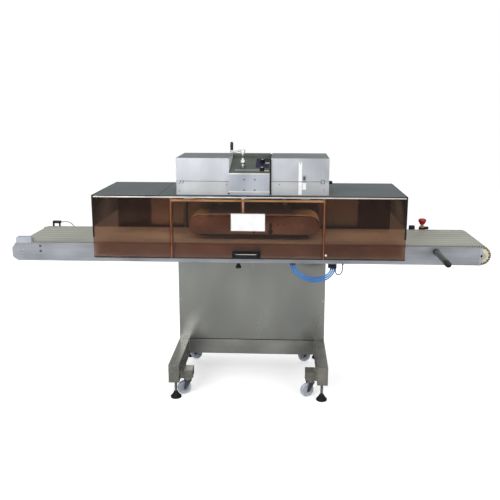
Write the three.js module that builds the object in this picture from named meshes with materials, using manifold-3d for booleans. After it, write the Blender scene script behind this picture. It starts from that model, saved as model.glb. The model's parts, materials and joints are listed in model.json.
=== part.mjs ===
// Continuous band sealer on a castered stand: a lower belt conveyor runs through a tinted guard tunnel,
// and a screw-lifted head inside it carries the heated sealing band. Millimetres, +Z up, +X downstream.
import * as THREE from 'three';
import { mergeVertices } from 'three/addons/utils/BufferGeometryUtils.js';
import Module from 'manifold-3d';

const wasm = await Module();
wasm.setup();

// ---------------------------------------------------------------- driving dimensions
const GAP = 0.3; // left between pieces that touch
const SHEET = 2; // folded sheet metal

const BELT_TOP = 900;
const BELT_WIDTH = 482;
const BELT_THICKNESS = 9;
const BELT_TURN_RADIUS = 55; // to the belt's outer face
const INFEED_AXLE = -1300; // X of the two belt axles
const OUTFEED_AXLE = 1293;

const SIDE_PLATE = 5;
const SIDE_CLEARANCE = 4; // belt edge to side plate
const PLATE_BELOW_BELT = 109;
const PLATE_HEIGHT = 102;
const INFEED_OVERHANG = 60; // side plate beyond the infeed axle

const TUNNEL_X = [-874, 865];
const TUNNEL_HEIGHT = 276; // above the belt
const TUNNEL_DROP = 76; // guard panels below the belt
const TUNNEL_FRONT = 40; // in front of and behind the side plates
const TUNNEL_BACK = 51;
const TUNNEL_MOUTH = 100; // end walls stop this far above the belt
const GUARD = 4;
const DOOR_X = [-434, 416]; // centre lines of the two tunnel posts

const CABINET_HALF = 451;
const CABINET_Y = [300, 620];
const LEG_Y = [-144, 644];
const LEG_SPREAD = 904; // outside to outside
const LEG_TUBE = [60, 107];
const LEG_BOTTOM = 118;
const TUBE_WALL = 3;
const CROSS_HEIGHT = 96;
const CROSS_DEPTH = 50;
const CASTER_SPAN = 270; // from the stand's middle to each pair of casters
const STUB = [66, 50, 85]; // width, height, length of the caster tubes
const STUB_BOTTOM = 110;
const WHEEL_RADIUS = 40;
const WHEEL_WIDTH = 30;
const WHEEL_LIFT = 2.5; // the casters hang clear while the feet are down
const CASTER_TRAIL = 22;
const FOOT_SPAN = 327;
const FOOT_RADIUS = 31;
const STEM_RADIUS = 8;

const BOX_Y = [5, 345];
const BOX_HEIGHT = 204; // top housings above the tunnel
const BOX_SEAM = 77;
const LEFT_BOX_X = [-405, -111];
const RIGHT_BOX_X = [121, 440];
const CONSOLE_X = [-110, 113];
const CONSOLE_FRONT = -20;
const CONSOLE_FACE = 124; // height of the console's front face above the tunnel
const PANEL_RUN = 310; // depth and rise of its sloping panel
const PANEL_RISE = 62;

const BAND_AXLES = [-298, 343];
const BAND_RADIUS = 60;
const BAND_THICKNESS = 3;
const BAND_Y = [130, 350];
const NIP = 22.5; // belt to sealing band
const HEAD_PLATE = 8;
const COLUMN_X = 200;
const COLUMN_Y = 402;
const COLUMN_RADIUS = 12.5;
const BUSH_CLEARANCE = 0.6;
const CRANK = [-39, 85];
const CRANK_ARM = 62;
const SCREW_RADIUS = 7;

// ---------------------------------------------------------------- places worked out from them
const AXLE_Z = BELT_TOP - BELT_TURN_RADIUS;
const PLATE_Z = BELT_TOP - PLATE_BELOW_BELT;
const BELT_Y = [SIDE_PLATE + SIDE_CLEARANCE, SIDE_PLATE + SIDE_CLEARANCE + BELT_WIDTH];
const REAR_PLATE_Y = BELT_Y[1] + SIDE_CLEARANCE;
const CONVEYOR_DEPTH = REAR_PLATE_Y + SIDE_PLATE;
const TUNNEL_Y = [-TUNNEL_FRONT, CONVEYOR_DEPTH + TUNNEL_BACK];
const TUNNEL_Z = [BELT_TOP - TUNNEL_DROP, BELT_TOP + TUNNEL_HEIGHT];
const HOUSING_Z = TUNNEL_Z[1] + GAP;
const BOX_TOP = TUNNEL_Z[1] + BOX_HEIGHT;
const SEAM_Z = TUNNEL_Z[1] + BOX_SEAM;
const PANEL_Z = TUNNEL_Z[1] + CONSOLE_FACE;
const PANEL_TILT = Math.atan2(PANEL_RISE, PANEL_RUN);
const BAND_Z = BELT_TOP + NIP + BAND_RADIUS;
const LEG_TOP = LEG_BOTTOM + LEG_TUBE[1];
const LEG_INNER = LEG_SPREAD / 2 - LEG_TUBE[0];
const STAND_MIDDLE = (LEG_Y[0] + LEG_Y[1]) / 2;
const CABINET_TOP = PLATE_Z - 1 - GAP;
const AXLE_JOURNAL = 8;
const BAR_REACH = 306;
const BAR_RADIUS = 16;
const BAR_AXIS = { x: 1042, z: BELT_TOP - 33 };

// ---------------------------------------------------------------- finishes
const finish = (color, roughness, metalness, extra = {}) =>
  new THREE.MeshStandardMaterial({ color, roughness, metalness, ...extra });
const STEEL = finish(0x9a9a9c, 0.4, 0.9);
const DARK_STEEL = finish(0x55585a, 0.5, 0.8);
const ALUMINIUM = finish(0xcdd2da, 0.45, 0.7);
const PANEL_GREY = finish(0x5f645f, 0.5, 0.6);
const BELTING = finish(0x96988c, 0.6, 0);
const BAND = finish(0xc9c2ae, 0.5, 0);
const TINT = finish(0x5a3c2d, 0.1, 0, { transparent: true, opacity: 0.5 });
const BLACK = finish(0x151515, 0.5, 0);
const CREAM = finish(0xd8d8d2, 0.5, 0);
const WHEEL_BLUE = finish(0xbec8d7, 0.5, 0);
const RED = finish(0xb02020, 0.35, 0);
const HOSE_BLUE = finish(0x3c78be, 0.35, 0);
const CABLE_GREY = finish(0x70747a, 0.5, 0);
const BRASS = finish(0xb59a58, 0.4, 0.9);

// ---------------------------------------------------------------- shapes
function solidOf(geometry) {
  const plain = geometry.clone();
  plain.deleteAttribute('normal');
  plain.deleteAttribute('uv');
  const merged = mergeVertices(plain, 1e-4);
  return new wasm.Manifold(new wasm.Mesh({
    numProp: 3,
    vertProperties: new Float32Array(merged.attributes.position.array),
    triVerts: new Uint32Array(merged.index.array),
  }));
}

function geometryOf(solid) {
  const mesh = solid.getMesh();
  const geometry = new THREE.BufferGeometry();
  geometry.setAttribute('position', new THREE.BufferAttribute(mesh.vertProperties, 3));
  geometry.setIndex(new THREE.BufferAttribute(mesh.triVerts, 1));
  geometry.computeVertexNormals();
  return geometry;
}

const join = (...shapes) => geometryOf(shapes.map(solidOf).reduce((sum, solid) => sum.add(solid)));
const cut = (body, ...tools) =>
  geometryOf(tools.map(solidOf).reduce((rest, tool) => rest.subtract(tool), solidOf(body)));

function box([x0, x1], [y0, y1], [z0, z1]) {
  return new THREE.BoxGeometry(x1 - x0, y1 - y0, z1 - z0)
    .translate((x0 + x1) / 2, (y0 + y1) / 2, (z0 + z1) / 2);
}

function rod(radius, from, to, sides = 14) {
  const start = new THREE.Vector3(...from);
  const run = new THREE.Vector3(...to).sub(start);
  return new THREE.CylinderGeometry(radius, radius, run.length(), sides)
    .applyQuaternion(new THREE.Quaternion().setFromUnitVectors(
      new THREE.Vector3(0, 1, 0), run.clone().normalize()))
    .translate(...start.addScaledVector(run, 0.5).toArray());
}

// An outline in X and Z, given thickness along Y.
function plateXZ(outline, [y0, y1], curveSegments = 8) {
  const shape = outline instanceof THREE.Shape
    ? outline : new THREE.Shape(outline.map(([x, z]) => new THREE.Vector2(x, z)));
  return new THREE.ExtrudeGeometry(shape, { depth: y1 - y0, bevelEnabled: false, curveSegments })
    .rotateX(Math.PI / 2).translate(0, y1, 0);
}

// An outline in Y and Z, given length along X.
function barYZ(outline, [x0, x1]) {
  const shape = new THREE.Shape(outline.map(([y, z]) => new THREE.Vector2(y, z)));
  const turn = new THREE.Matrix4().makeBasis(
    new THREE.Vector3(0, 1, 0), new THREE.Vector3(0, 0, 1), new THREE.Vector3(1, 0, 0));
  return new THREE.ExtrudeGeometry(shape, { depth: x1 - x0, bevelEnabled: false })
    .applyMatrix4(turn).translate(x0, 0, 0);
}

function stadium([x0, x1], z, radius) {
  return new THREE.Shape()
    .moveTo(x0, z - radius).lineTo(x1, z - radius)
    .absarc(x1, z, radius, -Math.PI / 2, Math.PI / 2)
    .lineTo(x0, z + radius)
    .absarc(x0, z, radius, Math.PI / 2, 1.5 * Math.PI);
}

function turned(profile, sides = 16) {
  return new THREE.LatheGeometry(profile.map(([r, z]) => new THREE.Vector2(r, z)), sides)
    .rotateX(Math.PI / 2);
}

// A hose or cable along a route.
function cord(route, radius, sides) {
  const curve = new THREE.CatmullRomCurve3(route.map((p) => new THREE.Vector3(...p)), false, 'centripetal');
  const section = new THREE.Shape().absarc(0, 0, radius, 0, 2 * Math.PI);
  return new THREE.ExtrudeGeometry(section, {
    steps: Math.ceil(curve.getLength() / (radius * 5.5)),
    curveSegments: sides / 2,
    bevelEnabled: false,
    extrudePath: curve,
  });
}

const sealer = new THREE.Group();
const machine = new THREE.Group();
sealer.add(machine);

function part(name, material, geometry, parent = machine) {
  const mesh = new THREE.Mesh(geometry, material);
  mesh.name = name;
  parent.add(mesh);
  return mesh;
}

const inset = ([low, high], by) => [low + by, high - by];

// ---------------------------------------------------------------- stand
const STUB_Y = [-1, 1].map((end) => STAND_MIDDLE + end * CASTER_SPAN);
const FOOT_Y = [-1, 1].map((end) => STAND_MIDDLE + end * FOOT_SPAN);

function leg(side) {
  const outer = side * LEG_SPREAD / 2;
  const inner = side * LEG_INNER;
  const x = [Math.min(outer, inner), Math.max(outer, inner)];
  const z = [LEG_BOTTOM, LEG_TOP];
  const centre = (outer + inner) / 2;
  const tube = cut(box(x, LEG_Y, z),
    box(inset(x, TUBE_WALL), inset(LEG_Y, TUBE_WALL), inset(z, TUBE_WALL)),
    ...FOOT_Y.map((y) => rod(STEM_RADIUS + 2, [centre, y, z[0] - 1], [centre, y, z[0] + TUBE_WALL + 1], 10)));
  const reach = [inner - side * (STUB[0] - 1), inner + side];
  const stubX = [Math.min(...reach), Math.max(...reach)];
  const stubZ = [STUB_BOTTOM, STUB_BOTTOM + STUB[1]];
  const stubs = STUB_Y.map((y) => cut(
    box(stubX, [y - STUB[2] / 2, y + STUB[2] / 2], stubZ),
    box([stubX[0] + (side > 0 ? TUBE_WALL : 1.5), stubX[1] - (side > 0 ? 1.5 : TUBE_WALL)],
      [y - STUB[2], y + STUB[2]], inset(stubZ, TUBE_WALL))));
  return join(tube, ...stubs);
}

function crossFrame() {
  const x = [-LEG_INNER + GAP, LEG_INNER - GAP];
  const z = [LEG_TOP - CROSS_HEIGHT, LEG_TOP];
  const beam = (y) => cut(box(x, y, z), box(inset(x, -1), inset(y, TUBE_WALL), inset(z, TUBE_WALL)));
  return join(
    beam([CABINET_Y[0], CABINET_Y[0] + CROSS_DEPTH]),
    beam([CABINET_Y[1] - CROSS_DEPTH, CABINET_Y[1]]),
    ...[-1, 1].map((side) => box([side * 200 - 20, side * 200 + 20],
      inset(CABINET_Y, CROSS_DEPTH - 1), [z[1] - 40, z[1]])));
}

function levellingFoot() {
  return turned([
    [0, 0], [FOOT_RADIUS, 0], [FOOT_RADIUS, 12], [13, 34], [13, 40],
    [STEM_RADIUS, 40], [STEM_RADIUS, LEG_BOTTOM + 40], [0, LEG_BOTTOM + 40],
  ], 14);
}

// The caster's own frame: the swivel axis is Z and the wheel trails towards +X.
const CASTER_TOP = STUB_BOTTOM - GAP;
const WHEEL_AXLE = WHEEL_RADIUS + WHEEL_LIFT;

function casterFork() {
  const cheek = (y) => plateXZ([
    [CASTER_TRAIL - 9, WHEEL_AXLE - 9], [CASTER_TRAIL + 9, WHEEL_AXLE - 9], [20, 90], [-20, 90],
  ], y);
  const half = WHEEL_WIDTH / 2 + 2;
  return join(
    box([-29, 29], [-25, 25], [CASTER_TOP - 3, CASTER_TOP]),
    rod(20, [0, 0, 88], [0, 0, CASTER_TOP - 2], 12),
    box([-20, 20], [-half - 3, half + 3], [86.5, 90]),
    cheek([half, half + 3]),
    cheek([-half - 3, -half]),
    rod(4, [CASTER_TRAIL, -half - 2, WHEEL_AXLE], [CASTER_TRAIL, half + 2, WHEEL_AXLE], 8));
}

function casterWheel() {
  const half = WHEEL_WIDTH / 2;
  const wheel = turned([
    [4.6, -half], [15, -half], [15, -half + 3], [WHEEL_RADIUS - 4, -half + 3], [WHEEL_RADIUS, -half + 8],
    [WHEEL_RADIUS, half - 8], [WHEEL_RADIUS - 4, half - 3], [15, half - 3], [15, half], [4.6, half], [4.6, -half],
  ], 20);
  return wheel.rotateX(Math.PI / 2).translate(CASTER_TRAIL, 0, WHEEL_AXLE);
}

function stand() {
  part('left_leg', STEEL, leg(-1));
  part('right_leg', STEEL, leg(1));
  part('base_crossframe', STEEL, crossFrame());
  const legMiddle = (LEG_SPREAD - LEG_TUBE[0]) / 2;
  const casterX = LEG_INNER - STUB[0] / 2;
  const corners = [
    ['front_left', -1, 0, 200], ['front_right', 1, 0, 205], ['rear_left', -1, 1, 165], ['rear_right', 1, 1, 190],
  ];
  for (const [corner, side, end, swivel] of corners) {
    const caster = new THREE.Group();
    caster.position.set(side * casterX, STUB_Y[end], 0);
    caster.rotation.z = THREE.MathUtils.degToRad(swivel);
    part(`${corner}_caster_fork`, DARK_STEEL, casterFork(), caster);
    part(`${corner}_caster_wheel`, WHEEL_BLUE, casterWheel(), caster);
    machine.add(caster);
    part(`${corner}_levelling_foot`, BLACK, levellingFoot())
      .position.set(side * legMiddle, FOOT_Y[end], 0);
  }
}

// ---------------------------------------------------------------- cabinet
const ARM_X = [-330, -70, 330];
const HOSE_BAR = { x: [225, 545], y: [88, 112], z: CABINET_TOP - 20 };
const FITTING = { x: [452, 500], y: [84, 116], z: CABINET_TOP - 45 };
const KNOB_STEM = 5;
const KNOB_Y = 140;

// A bracket that carries the conveyor in front of the cabinet, shallower towards its tip.
const armUnderside = (y) => CABINET_TOP - 4 - 50 * (y - 8) / (CABINET_Y[0] - 8);

function cabinetShell() {
  const x = [-CABINET_HALF, CABINET_HALF];
  const y = [CABINET_Y[0], CABINET_Y[1]];
  const z = [LEG_TOP + GAP, CABINET_TOP];
  const arms = ARM_X.map((middle) => barYZ([
    [8, CABINET_TOP], [8, CABINET_TOP - 4], [CABINET_Y[0] + 1, armUnderside(CABINET_Y[0] + 1)],
    [CABINET_Y[0] + 1, CABINET_TOP],
  ], [middle - 20, middle + 20]));
  const shell = cut(box(x, y, z),
    box(inset(x, SHEET), inset(y, SHEET), inset(z, SHEET)),
    box(inset(x, -1), [y[0] - 1, y[0] + SHEET + GAP], [z[0] - 1, CABINET_TOP - 60]));
  return cut(
    join(shell, ...arms,
      box(HOSE_BAR.x, HOSE_BAR.y, [HOSE_BAR.z, CABINET_TOP]),
      box(FITTING.x, FITTING.y, [FITTING.z, HOSE_BAR.z + 1])),
    rod(KNOB_STEM + 0.5, [ARM_X[1], KNOB_Y, 0], [ARM_X[1], KNOB_Y, CABINET_TOP - 5], 16));
}

function cabinet() {
  part('cabinet_shell', STEEL, cabinetShell());
  part('cabinet_front_panel', STEEL, box([-CABINET_HALF, CABINET_HALF],
    [CABINET_Y[0], CABINET_Y[0] + SHEET], [LEG_TOP + GAP, CABINET_TOP - 60 - GAP]));
  const under = armUnderside(KNOB_Y);
  part('bed_knob', BLACK, turned([
    [0, under - 38], [14, under - 38], [17, under - 34], [17, under - 27], [13, under - 21], [9, under - 14],
    [9, under - 4], [KNOB_STEM, under - 4], [KNOB_STEM, CABINET_TOP - 7], [0, CABINET_TOP - 7],
  ], 14)).position.set(ARM_X[1], KNOB_Y, 0);
}

// ---------------------------------------------------------------- conveyor
function sidePlate(y) {
  const left = INFEED_AXLE - INFEED_OVERHANG;
  const top = PLATE_Z + PLATE_HEIGHT;
  const right = OUTFEED_AXLE;
  const nose = AXLE_JOURNAL + 4;
  const outline = [
    [left, PLATE_Z + 22], [left + 30, PLATE_Z], [right, PLATE_Z],
    [right, AXLE_Z - nose], [right + 19, AXLE_Z - nose], [right + 19, AXLE_Z + nose], [right, AXLE_Z + nose],
    [right, top], [left + 20, top], [left, top - 28],
  ];
  const hole = (x) => rod(AXLE_JOURNAL + 0.5, [x, y[0] - 1, AXLE_Z], [x, y[1] + 1, AXLE_Z]);
  return cut(plateXZ(outline, y), hole(INFEED_AXLE), hole(OUTFEED_AXLE));
}

function beltLoop() {
  const axles = [INFEED_AXLE, OUTFEED_AXLE];
  return cut(plateXZ(stadium(axles, AXLE_Z, BELT_TURN_RADIUS), BELT_Y),
    plateXZ(stadium(axles, AXLE_Z, BELT_TURN_RADIUS - BELT_THICKNESS), inset(BELT_Y, -1)));
}

function sliderBed() {
  const between = [SIDE_PLATE + GAP, REAR_PLATE_Y - GAP];
  const top = BELT_TOP - BELT_THICKNESS - GAP;
  const ends = [INFEED_AXLE + 60, OUTFEED_AXLE - 60];
  const strips = [0.1, 0.5, 0.9].map((share) => {
    const y = share * CONVEYOR_DEPTH;
    return box(ends, [y - 18, y + 18], [top - 6, top]);
  });
  const span = ends[1] - ends[0] - 80;
  const members = [0, 1, 2, 3].map((i) => {
    const x = ends[0] + 40 + span * i / 3;
    return box([x - 15, x + 15], between, [top - 60, top - 5]);
  });
  return join(...strips, ...members);
}

function beltShaft(x, tail) {
  const drum = BELT_TURN_RADIUS - BELT_THICKNESS - 0.4;
  const length = BELT_Y[1] - BELT_Y[0];
  const cogs = [0, 1, 2].map((i) => {
    const y = BELT_Y[0] + 3 + (length - 31) * i / 2;
    return rod(drum, [x, y, AXLE_Z], [x, y + 25, AXLE_Z], 18);
  });
  return join(...cogs,
    rod(14, [x, BELT_Y[0] + 3, AXLE_Z], [x, BELT_Y[1] - 3, AXLE_Z], 12),
    rod(AXLE_JOURNAL, [x, 1, AXLE_Z], [x, CONVEYOR_DEPTH + tail, AXLE_Z]));
}

function gearmotor() {
  const x = OUTFEED_AXLE;
  const y = [CONVEYOR_DEPTH + GAP, CONVEYOR_DEPTH + 62];
  const gearbox = box([x - 53, x + 50], y, [AXLE_Z - 55, AXLE_Z + 30]);
  const motor = rod(40, [x - 240, y[0] + 41, AXLE_Z - 14], [x - 52, y[0] + 41, AXLE_Z - 14], 24);
  const terminalBox = box([x - 190, x - 110], [y[0] + 12, y[0] + 70], [AXLE_Z - 75, AXLE_Z - 40]);
  const bore = rod(AXLE_JOURNAL + 0.5, [x, y[0] - 1, AXLE_Z], [x, y[0] + 50, AXLE_Z]);
  return cut(join(gearbox, motor, terminalBox), bore);
}

function beltEndCover() {
  const x = [INFEED_AXLE - 35, INFEED_AXLE + 54];
  const foot = PLATE_Z + PLATE_HEIGHT + GAP;
  const top = BELT_TOP + 27;
  const outline = new THREE.Shape().moveTo(x[0], foot).lineTo(x[1], foot).lineTo(x[1], top - 14)
    .absarc(x[1] - 14, top - 14, 14, 0, Math.PI / 2)
    .lineTo(x[0] + 6, top).absarc(x[0] + 6, top - 6, 6, Math.PI / 2, Math.PI);
  return cut(plateXZ(outline, [0, 40], 4),
    box(inset(x, -1), [SIDE_PLATE + 1, 41], [foot - 1, BELT_TOP + 1]));
}

function handlingBar() {
  const at = (y) => [BAR_AXIS.x, y, BAR_AXIS.z];
  return join(rod(BAR_RADIUS, at(-BAR_REACH), at(-GAP - 5)), rod(BAR_RADIUS + 2, at(-GAP - 12), at(-GAP)));
}

function conveyor() {
  part('conveyor_front_plate', STEEL, sidePlate([0, SIDE_PLATE]));
  part('conveyor_rear_plate', STEEL, join(sidePlate([REAR_PLATE_Y, CONVEYOR_DEPTH]),
    rod(8, [CABLE_END[0], CONVEYOR_DEPTH - 1, CABLE_END[2]], [...CABLE_END.with(1, CABLE_END[1] - GAP)], 12)));
  part('slider_bed', STEEL, sliderBed());
  part('conveyor_belt', BELTING, beltLoop());
  part('infeed_shaft', CREAM, beltShaft(INFEED_AXLE, 0));
  part('drive_shaft', CREAM, beltShaft(OUTFEED_AXLE, 45));
  part('gearmotor', DARK_STEEL, gearmotor());
  part('belt_end_cover', CREAM, beltEndCover());
  part('handling_bar', STEEL, handlingBar());
}

// ---------------------------------------------------------------- tunnel
const POST = 8; // half the width of a tunnel post
const BACK_PLATE_Y = [TUNNEL_Y[1] - GUARD - GAP - SHEET, TUNNEL_Y[1] - GUARD - GAP];

function tunnelTop() {
  const [x0, x1] = TUNNEL_X;
  const top = [TUNNEL_Z[1] - 3, TUNNEL_Z[1]];
  const wallY = inset(TUNNEL_Y, GUARD + GAP + 1);
  const wallZ = [BELT_TOP + TUNNEL_MOUTH, top[0] + 1];
  const posts = DOOR_X.flatMap((x) => [
    box([x - POST, x + POST], [TUNNEL_Y[0] + GUARD + GAP, -GAP], [TUNNEL_Z[0], top[0] + 1]),
    box([x - POST, x + POST], [CONVEYOR_DEPTH + GAP, BACK_PLATE_Y[0] - GAP], [TUNNEL_Z[0], top[0] + 1]),
  ]);
  return cut(
    join(box(TUNNEL_X, TUNNEL_Y, top),
      box([x0, x0 + 3], wallY, wallZ), box([x1 - 3, x1], wallY, wallZ),
      box(TUNNEL_X, [TUNNEL_Y[0], TUNNEL_Y[0] + 8], [top[0] - 8, top[0] + 1]),
      ...posts),
    rod(SCREW_RADIUS + 4, [...CRANK, top[0] - 1], [...CRANK, top[1] + 1], 16));
}

const PANEL_TOP = TUNNEL_Z[1] - 11 - GAP;

const HINGE_SLOT = 5; // the door stops short of the rail so that its top edge can turn

const guardPanel = (x, y, top = PANEL_TOP) => box(x, y, [TUNNEL_Z[0], top]);

function doorHandle() {
  const x = [-94, 66];
  const face = TUNNEL_Y[0] - GAP;
  const outline = [[x[0], face], [x[0], face - 10], [x[0] + 22, face - 33], [x[1] - 22, face - 33],
    [x[1], face - 10], [x[1], face]];
  const hollow = [[x[0] + 14, face + 1], [x[0] + 14, face - 6], [x[0] + 28, face - 21],
    [x[1] - 28, face - 21], [x[1] - 14, face - 6], [x[1] - 14, face + 1]];
  const bow = (points, [z0, z1]) => new THREE.ExtrudeGeometry(
    new THREE.Shape(points.map(([u, v]) => new THREE.Vector2(u, v))), { depth: z1 - z0, bevelEnabled: false })
    .translate(0, 0, z0);
  const z = [TUNNEL_Z[0] + 8, TUNNEL_Z[0] + 32];
  return cut(bow(outline, z), bow(hollow, inset(z, -1)));
}

function tunnel() {
  const front = [TUNNEL_Y[0], TUNNEL_Y[0] + GUARD];
  const seam = 2.3;
  part('tunnel_top', DARK_STEEL, tunnelTop());
  part('left_guard_panel', TINT, guardPanel([TUNNEL_X[0], DOOR_X[0] - seam], front));
  part('right_guard_panel', TINT, guardPanel([DOOR_X[1] + seam, TUNNEL_X[1]], front));
  part('guard_door', TINT, guardPanel([DOOR_X[0] + seam, DOOR_X[1] - seam], front, PANEL_TOP - HINGE_SLOT));
  part('rear_guard_panel', TINT, box(inset(TUNNEL_X, 1), [TUNNEL_Y[1] - GUARD, TUNNEL_Y[1]],
    [TUNNEL_Z[0], TUNNEL_Z[1] - 3 - GAP]));
  part('back_plate', STEEL, box([-655, 659], BACK_PLATE_Y, [BELT_TOP + 4, TUNNEL_Z[1] - 3 - GAP]));
  part('door_handle', BLACK, doorHandle());
}

// ---------------------------------------------------------------- sealing head
function headFrame() {
  const plate = (y0) => plateXZ(stadium(BAND_AXLES, BAND_Z, BAND_RADIUS - 8), [y0, y0 + HEAD_PLATE], 6);
  const front = BAND_Y[0] - HEAD_PLATE - 2;
  const rear = BAND_Y[1] + 2;
  const carrier = [BAND_Z + BAND_RADIUS + 9, BAND_Z + BAND_RADIUS + 19];
  const lug = (x, y) => box([x - 30, x + 30], [y, y + HEAD_PLATE], [BAND_Z, carrier[0] + 1]);
  const axleHoles = [...BAND_AXLES, PRESS_ROLLER.x].map((x, i) => {
    const z = i === 2 ? PRESS_ROLLER.z : BAND_Z;
    return rod(ROLLER_JOURNAL + 0.7, [x, front - 1, z], [x, rear + HEAD_PLATE + 1, z], 12);
  });
  const columns = [-COLUMN_X, COLUMN_X];
  return cut(
    join(plate(front), plate(rear),
      box([-COLUMN_X - 40, COLUMN_X + 40], [CRANK[1] - 22, COLUMN_Y + 25], carrier),
      ...[-180, 180].flatMap((x) => [lug(x, front), lug(x, rear)]),
      ...columns.map((x) => rod(COLUMN_RADIUS + 9, [x, COLUMN_Y, carrier[0] - 50], [x, COLUMN_Y, carrier[1] + 6], 12)),
      rod(SCREW_RADIUS + 10, [...CRANK, carrier[0] - 30], [...CRANK, carrier[1] + 1], 12)),
    ...axleHoles,
    ...columns.map((x) => rod(COLUMN_RADIUS + BUSH_CLEARANCE, [x, COLUMN_Y, 0], [x, COLUMN_Y, carrier[1] + 9], 12)),
    rod(SCREW_RADIUS + BUSH_CLEARANCE, [...CRANK, 0], [...CRANK, carrier[1] + 9], 12));
}

const ROLLER_JOURNAL = 8;
const PRESS_RADIUS = 20;
const PRESS_ROLLER = {
  x: 22,
  z: BAND_Z - BAND_RADIUS + BAND_THICKNESS + GAP + PRESS_RADIUS,
};

function roller(x, z, radius) {
  const inner = inset(BAND_Y, 4);
  return join(rod(radius, [x, inner[0], z], [x, inner[1], z], 24),
    rod(ROLLER_JOURNAL, [x, BAND_Y[0] - HEAD_PLATE - 2, z], [x, BAND_Y[1] + HEAD_PLATE + 2, z], 12));
}

function sealingBand() {
  return cut(plateXZ(stadium(BAND_AXLES, BAND_Z, BAND_RADIUS), BAND_Y, 12),
    plateXZ(stadium(BAND_AXLES, BAND_Z, BAND_RADIUS - BAND_THICKNESS), inset(BAND_Y, -1), 12));
}

// A finned pressure bar that rides on the band's lower run.
function finnedBar(x) {
  const floor = BAND_Z - BAND_RADIUS + BAND_THICKNESS + GAP;
  const y = inset(BAND_Y, 2);
  const fins = [0, 1, 2, 3].map((i) => {
    const at = y[0] + 20 + (y[1] - y[0] - 46) * i / 3;
    return box(inset(x, 4), [at, at + 6], [floor + 11, floor + 34]);
  });
  return join(box(x, y, [floor, floor + 12]), ...fins);
}

function guideColumns() {
  const top = TUNNEL_Z[1] - 3 - GAP;
  const foot = BAND_Z + BAND_RADIUS + 9 - 45;
  return join(
    box([-COLUMN_X - 30, COLUMN_X + 30], [COLUMN_Y - 25, COLUMN_Y + 25], [top - 10, top]),
    ...[-COLUMN_X, COLUMN_X].map((x) => rod(COLUMN_RADIUS, [x, COLUMN_Y, foot], [x, COLUMN_Y, top - 9], 12)));
}

function sealingHead() {
  const rollerRadius = BAND_RADIUS - BAND_THICKNESS - GAP;
  part('guide_columns', STEEL, guideColumns());
  part('head_frame', DARK_STEEL, headFrame());
  part('sealing_band', BAND, sealingBand());
  part('heater_bar', BRASS, finnedBar([-232, -8]));
  part('cooling_bar', ALUMINIUM, finnedBar([52, 276]));
  part('band_drive_roller', DARK_STEEL, roller(BAND_AXLES[0], BAND_Z, rollerRadius));
  part('band_idler_roller', DARK_STEEL, roller(BAND_AXLES[1], BAND_Z, rollerRadius));
  part('pressure_roller', BLACK, roller(PRESS_ROLLER.x, PRESS_ROLLER.z, PRESS_RADIUS));
}

// ---------------------------------------------------------------- top housing
function housingBase() {
  const floor = [HOUSING_Z, HOUSING_Z + SHEET];
  const bin = (x) => cut(box(x, BOX_Y, [HOUSING_Z, SEAM_Z]),
    box(inset(x, SHEET), inset(BOX_Y, SHEET), [floor[1], SEAM_Z + 1]));
  return cut(join(box([LEFT_BOX_X[1] - 1, RIGHT_BOX_X[0] + 1], BOX_Y, floor), bin(LEFT_BOX_X), bin(RIGHT_BOX_X)),
    rod(SCREW_RADIUS + 4, [...CRANK, floor[0] - 1], [...CRANK, floor[1] + 1], 16));
}

function boxCover(x) {
  return cut(box(x, BOX_Y, [SEAM_Z + GAP, BOX_TOP]),
    box(inset(x, SHEET), inset(BOX_Y, SHEET), [SEAM_Z - 1, BOX_TOP - SHEET]));
}

function latch(x) {
  const face = BOX_Y[0] - GAP;
  return join(box([x - 11, x + 11], [face - 5, face], [SEAM_Z - 13, SEAM_Z + 11]),
    box([x - 7, x + 7], [face - 9, face - 4], [SEAM_Z - 11, SEAM_Z + 2]));
}

function consoleHousing() {
  const floor = HOUSING_Z + SHEET + GAP;
  const rear = BOX_Y[1];
  const ridge = CONSOLE_FRONT + PANEL_RUN;
  const outline = (by) => [
    [CONSOLE_FRONT + by, floor - (by ? 1 : 0)], [CONSOLE_FRONT + by, PANEL_Z - by],
    [ridge + by, PANEL_Z + PANEL_RISE - by], [ridge + by, BOX_TOP - by], [rear - by, BOX_TOP - by],
    [rear - by, floor - (by ? 1 : 0)],
  ].reverse();
  return cut(barYZ(outline(0), CONSOLE_X), barYZ(outline(SHEET), inset(CONSOLE_X, SHEET)),
    rod(SCREW_RADIUS + 2, [...CRANK, PANEL_Z - 20], [...CRANK, BOX_TOP], 16),
    ...KNOBS.map(([, x, y]) => rod(4.5, [x, y, PANEL_Z - 30], [x, y, BOX_TOP - 1], 12)));
}

const KNOBS = [['upper_knob', 68, 180], ['lower_knob', 70, 30]];

function consoleKnob() {
  return turned([[0, -9], [3.5, -9], [3.5, 0.8], [10, 0.8], [10, 9], [8.5, 15], [0, 15]], 12);
}

function crank() {
  const [x, y] = CRANK;
  const armZ = PANEL_Z + 112;
  const grip = x - CRANK_ARM;
  return join(
    rod(SCREW_RADIUS, [x, y, TUNNEL_Z[1] - 150], [x, y, armZ]),
    rod(13, [x, y, PANEL_Z + 40], [x, y, PANEL_Z + 62]),
    rod(13, [x, y, armZ - 16], [x, y, armZ + 8]),
    rod(9, [grip, y, armZ - 5], [grip, y, armZ + 5]),
    box([grip, x], [y - 6, y + 6], [armZ - 4, armZ + 4]),
    rod(3, [grip, y, armZ], [grip, y, armZ + 44], 8));
}

function crankGrip() {
  const z = PANEL_Z + 112 + 5 + GAP;
  return turned([[3.4, z], [7.5, z], [8.5, z + 12], [8.5, z + 40], [6, z + 46], [0, z + 46],
    [0, z + 41], [3.4, z + 41], [3.4, z]], 12);
}

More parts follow.
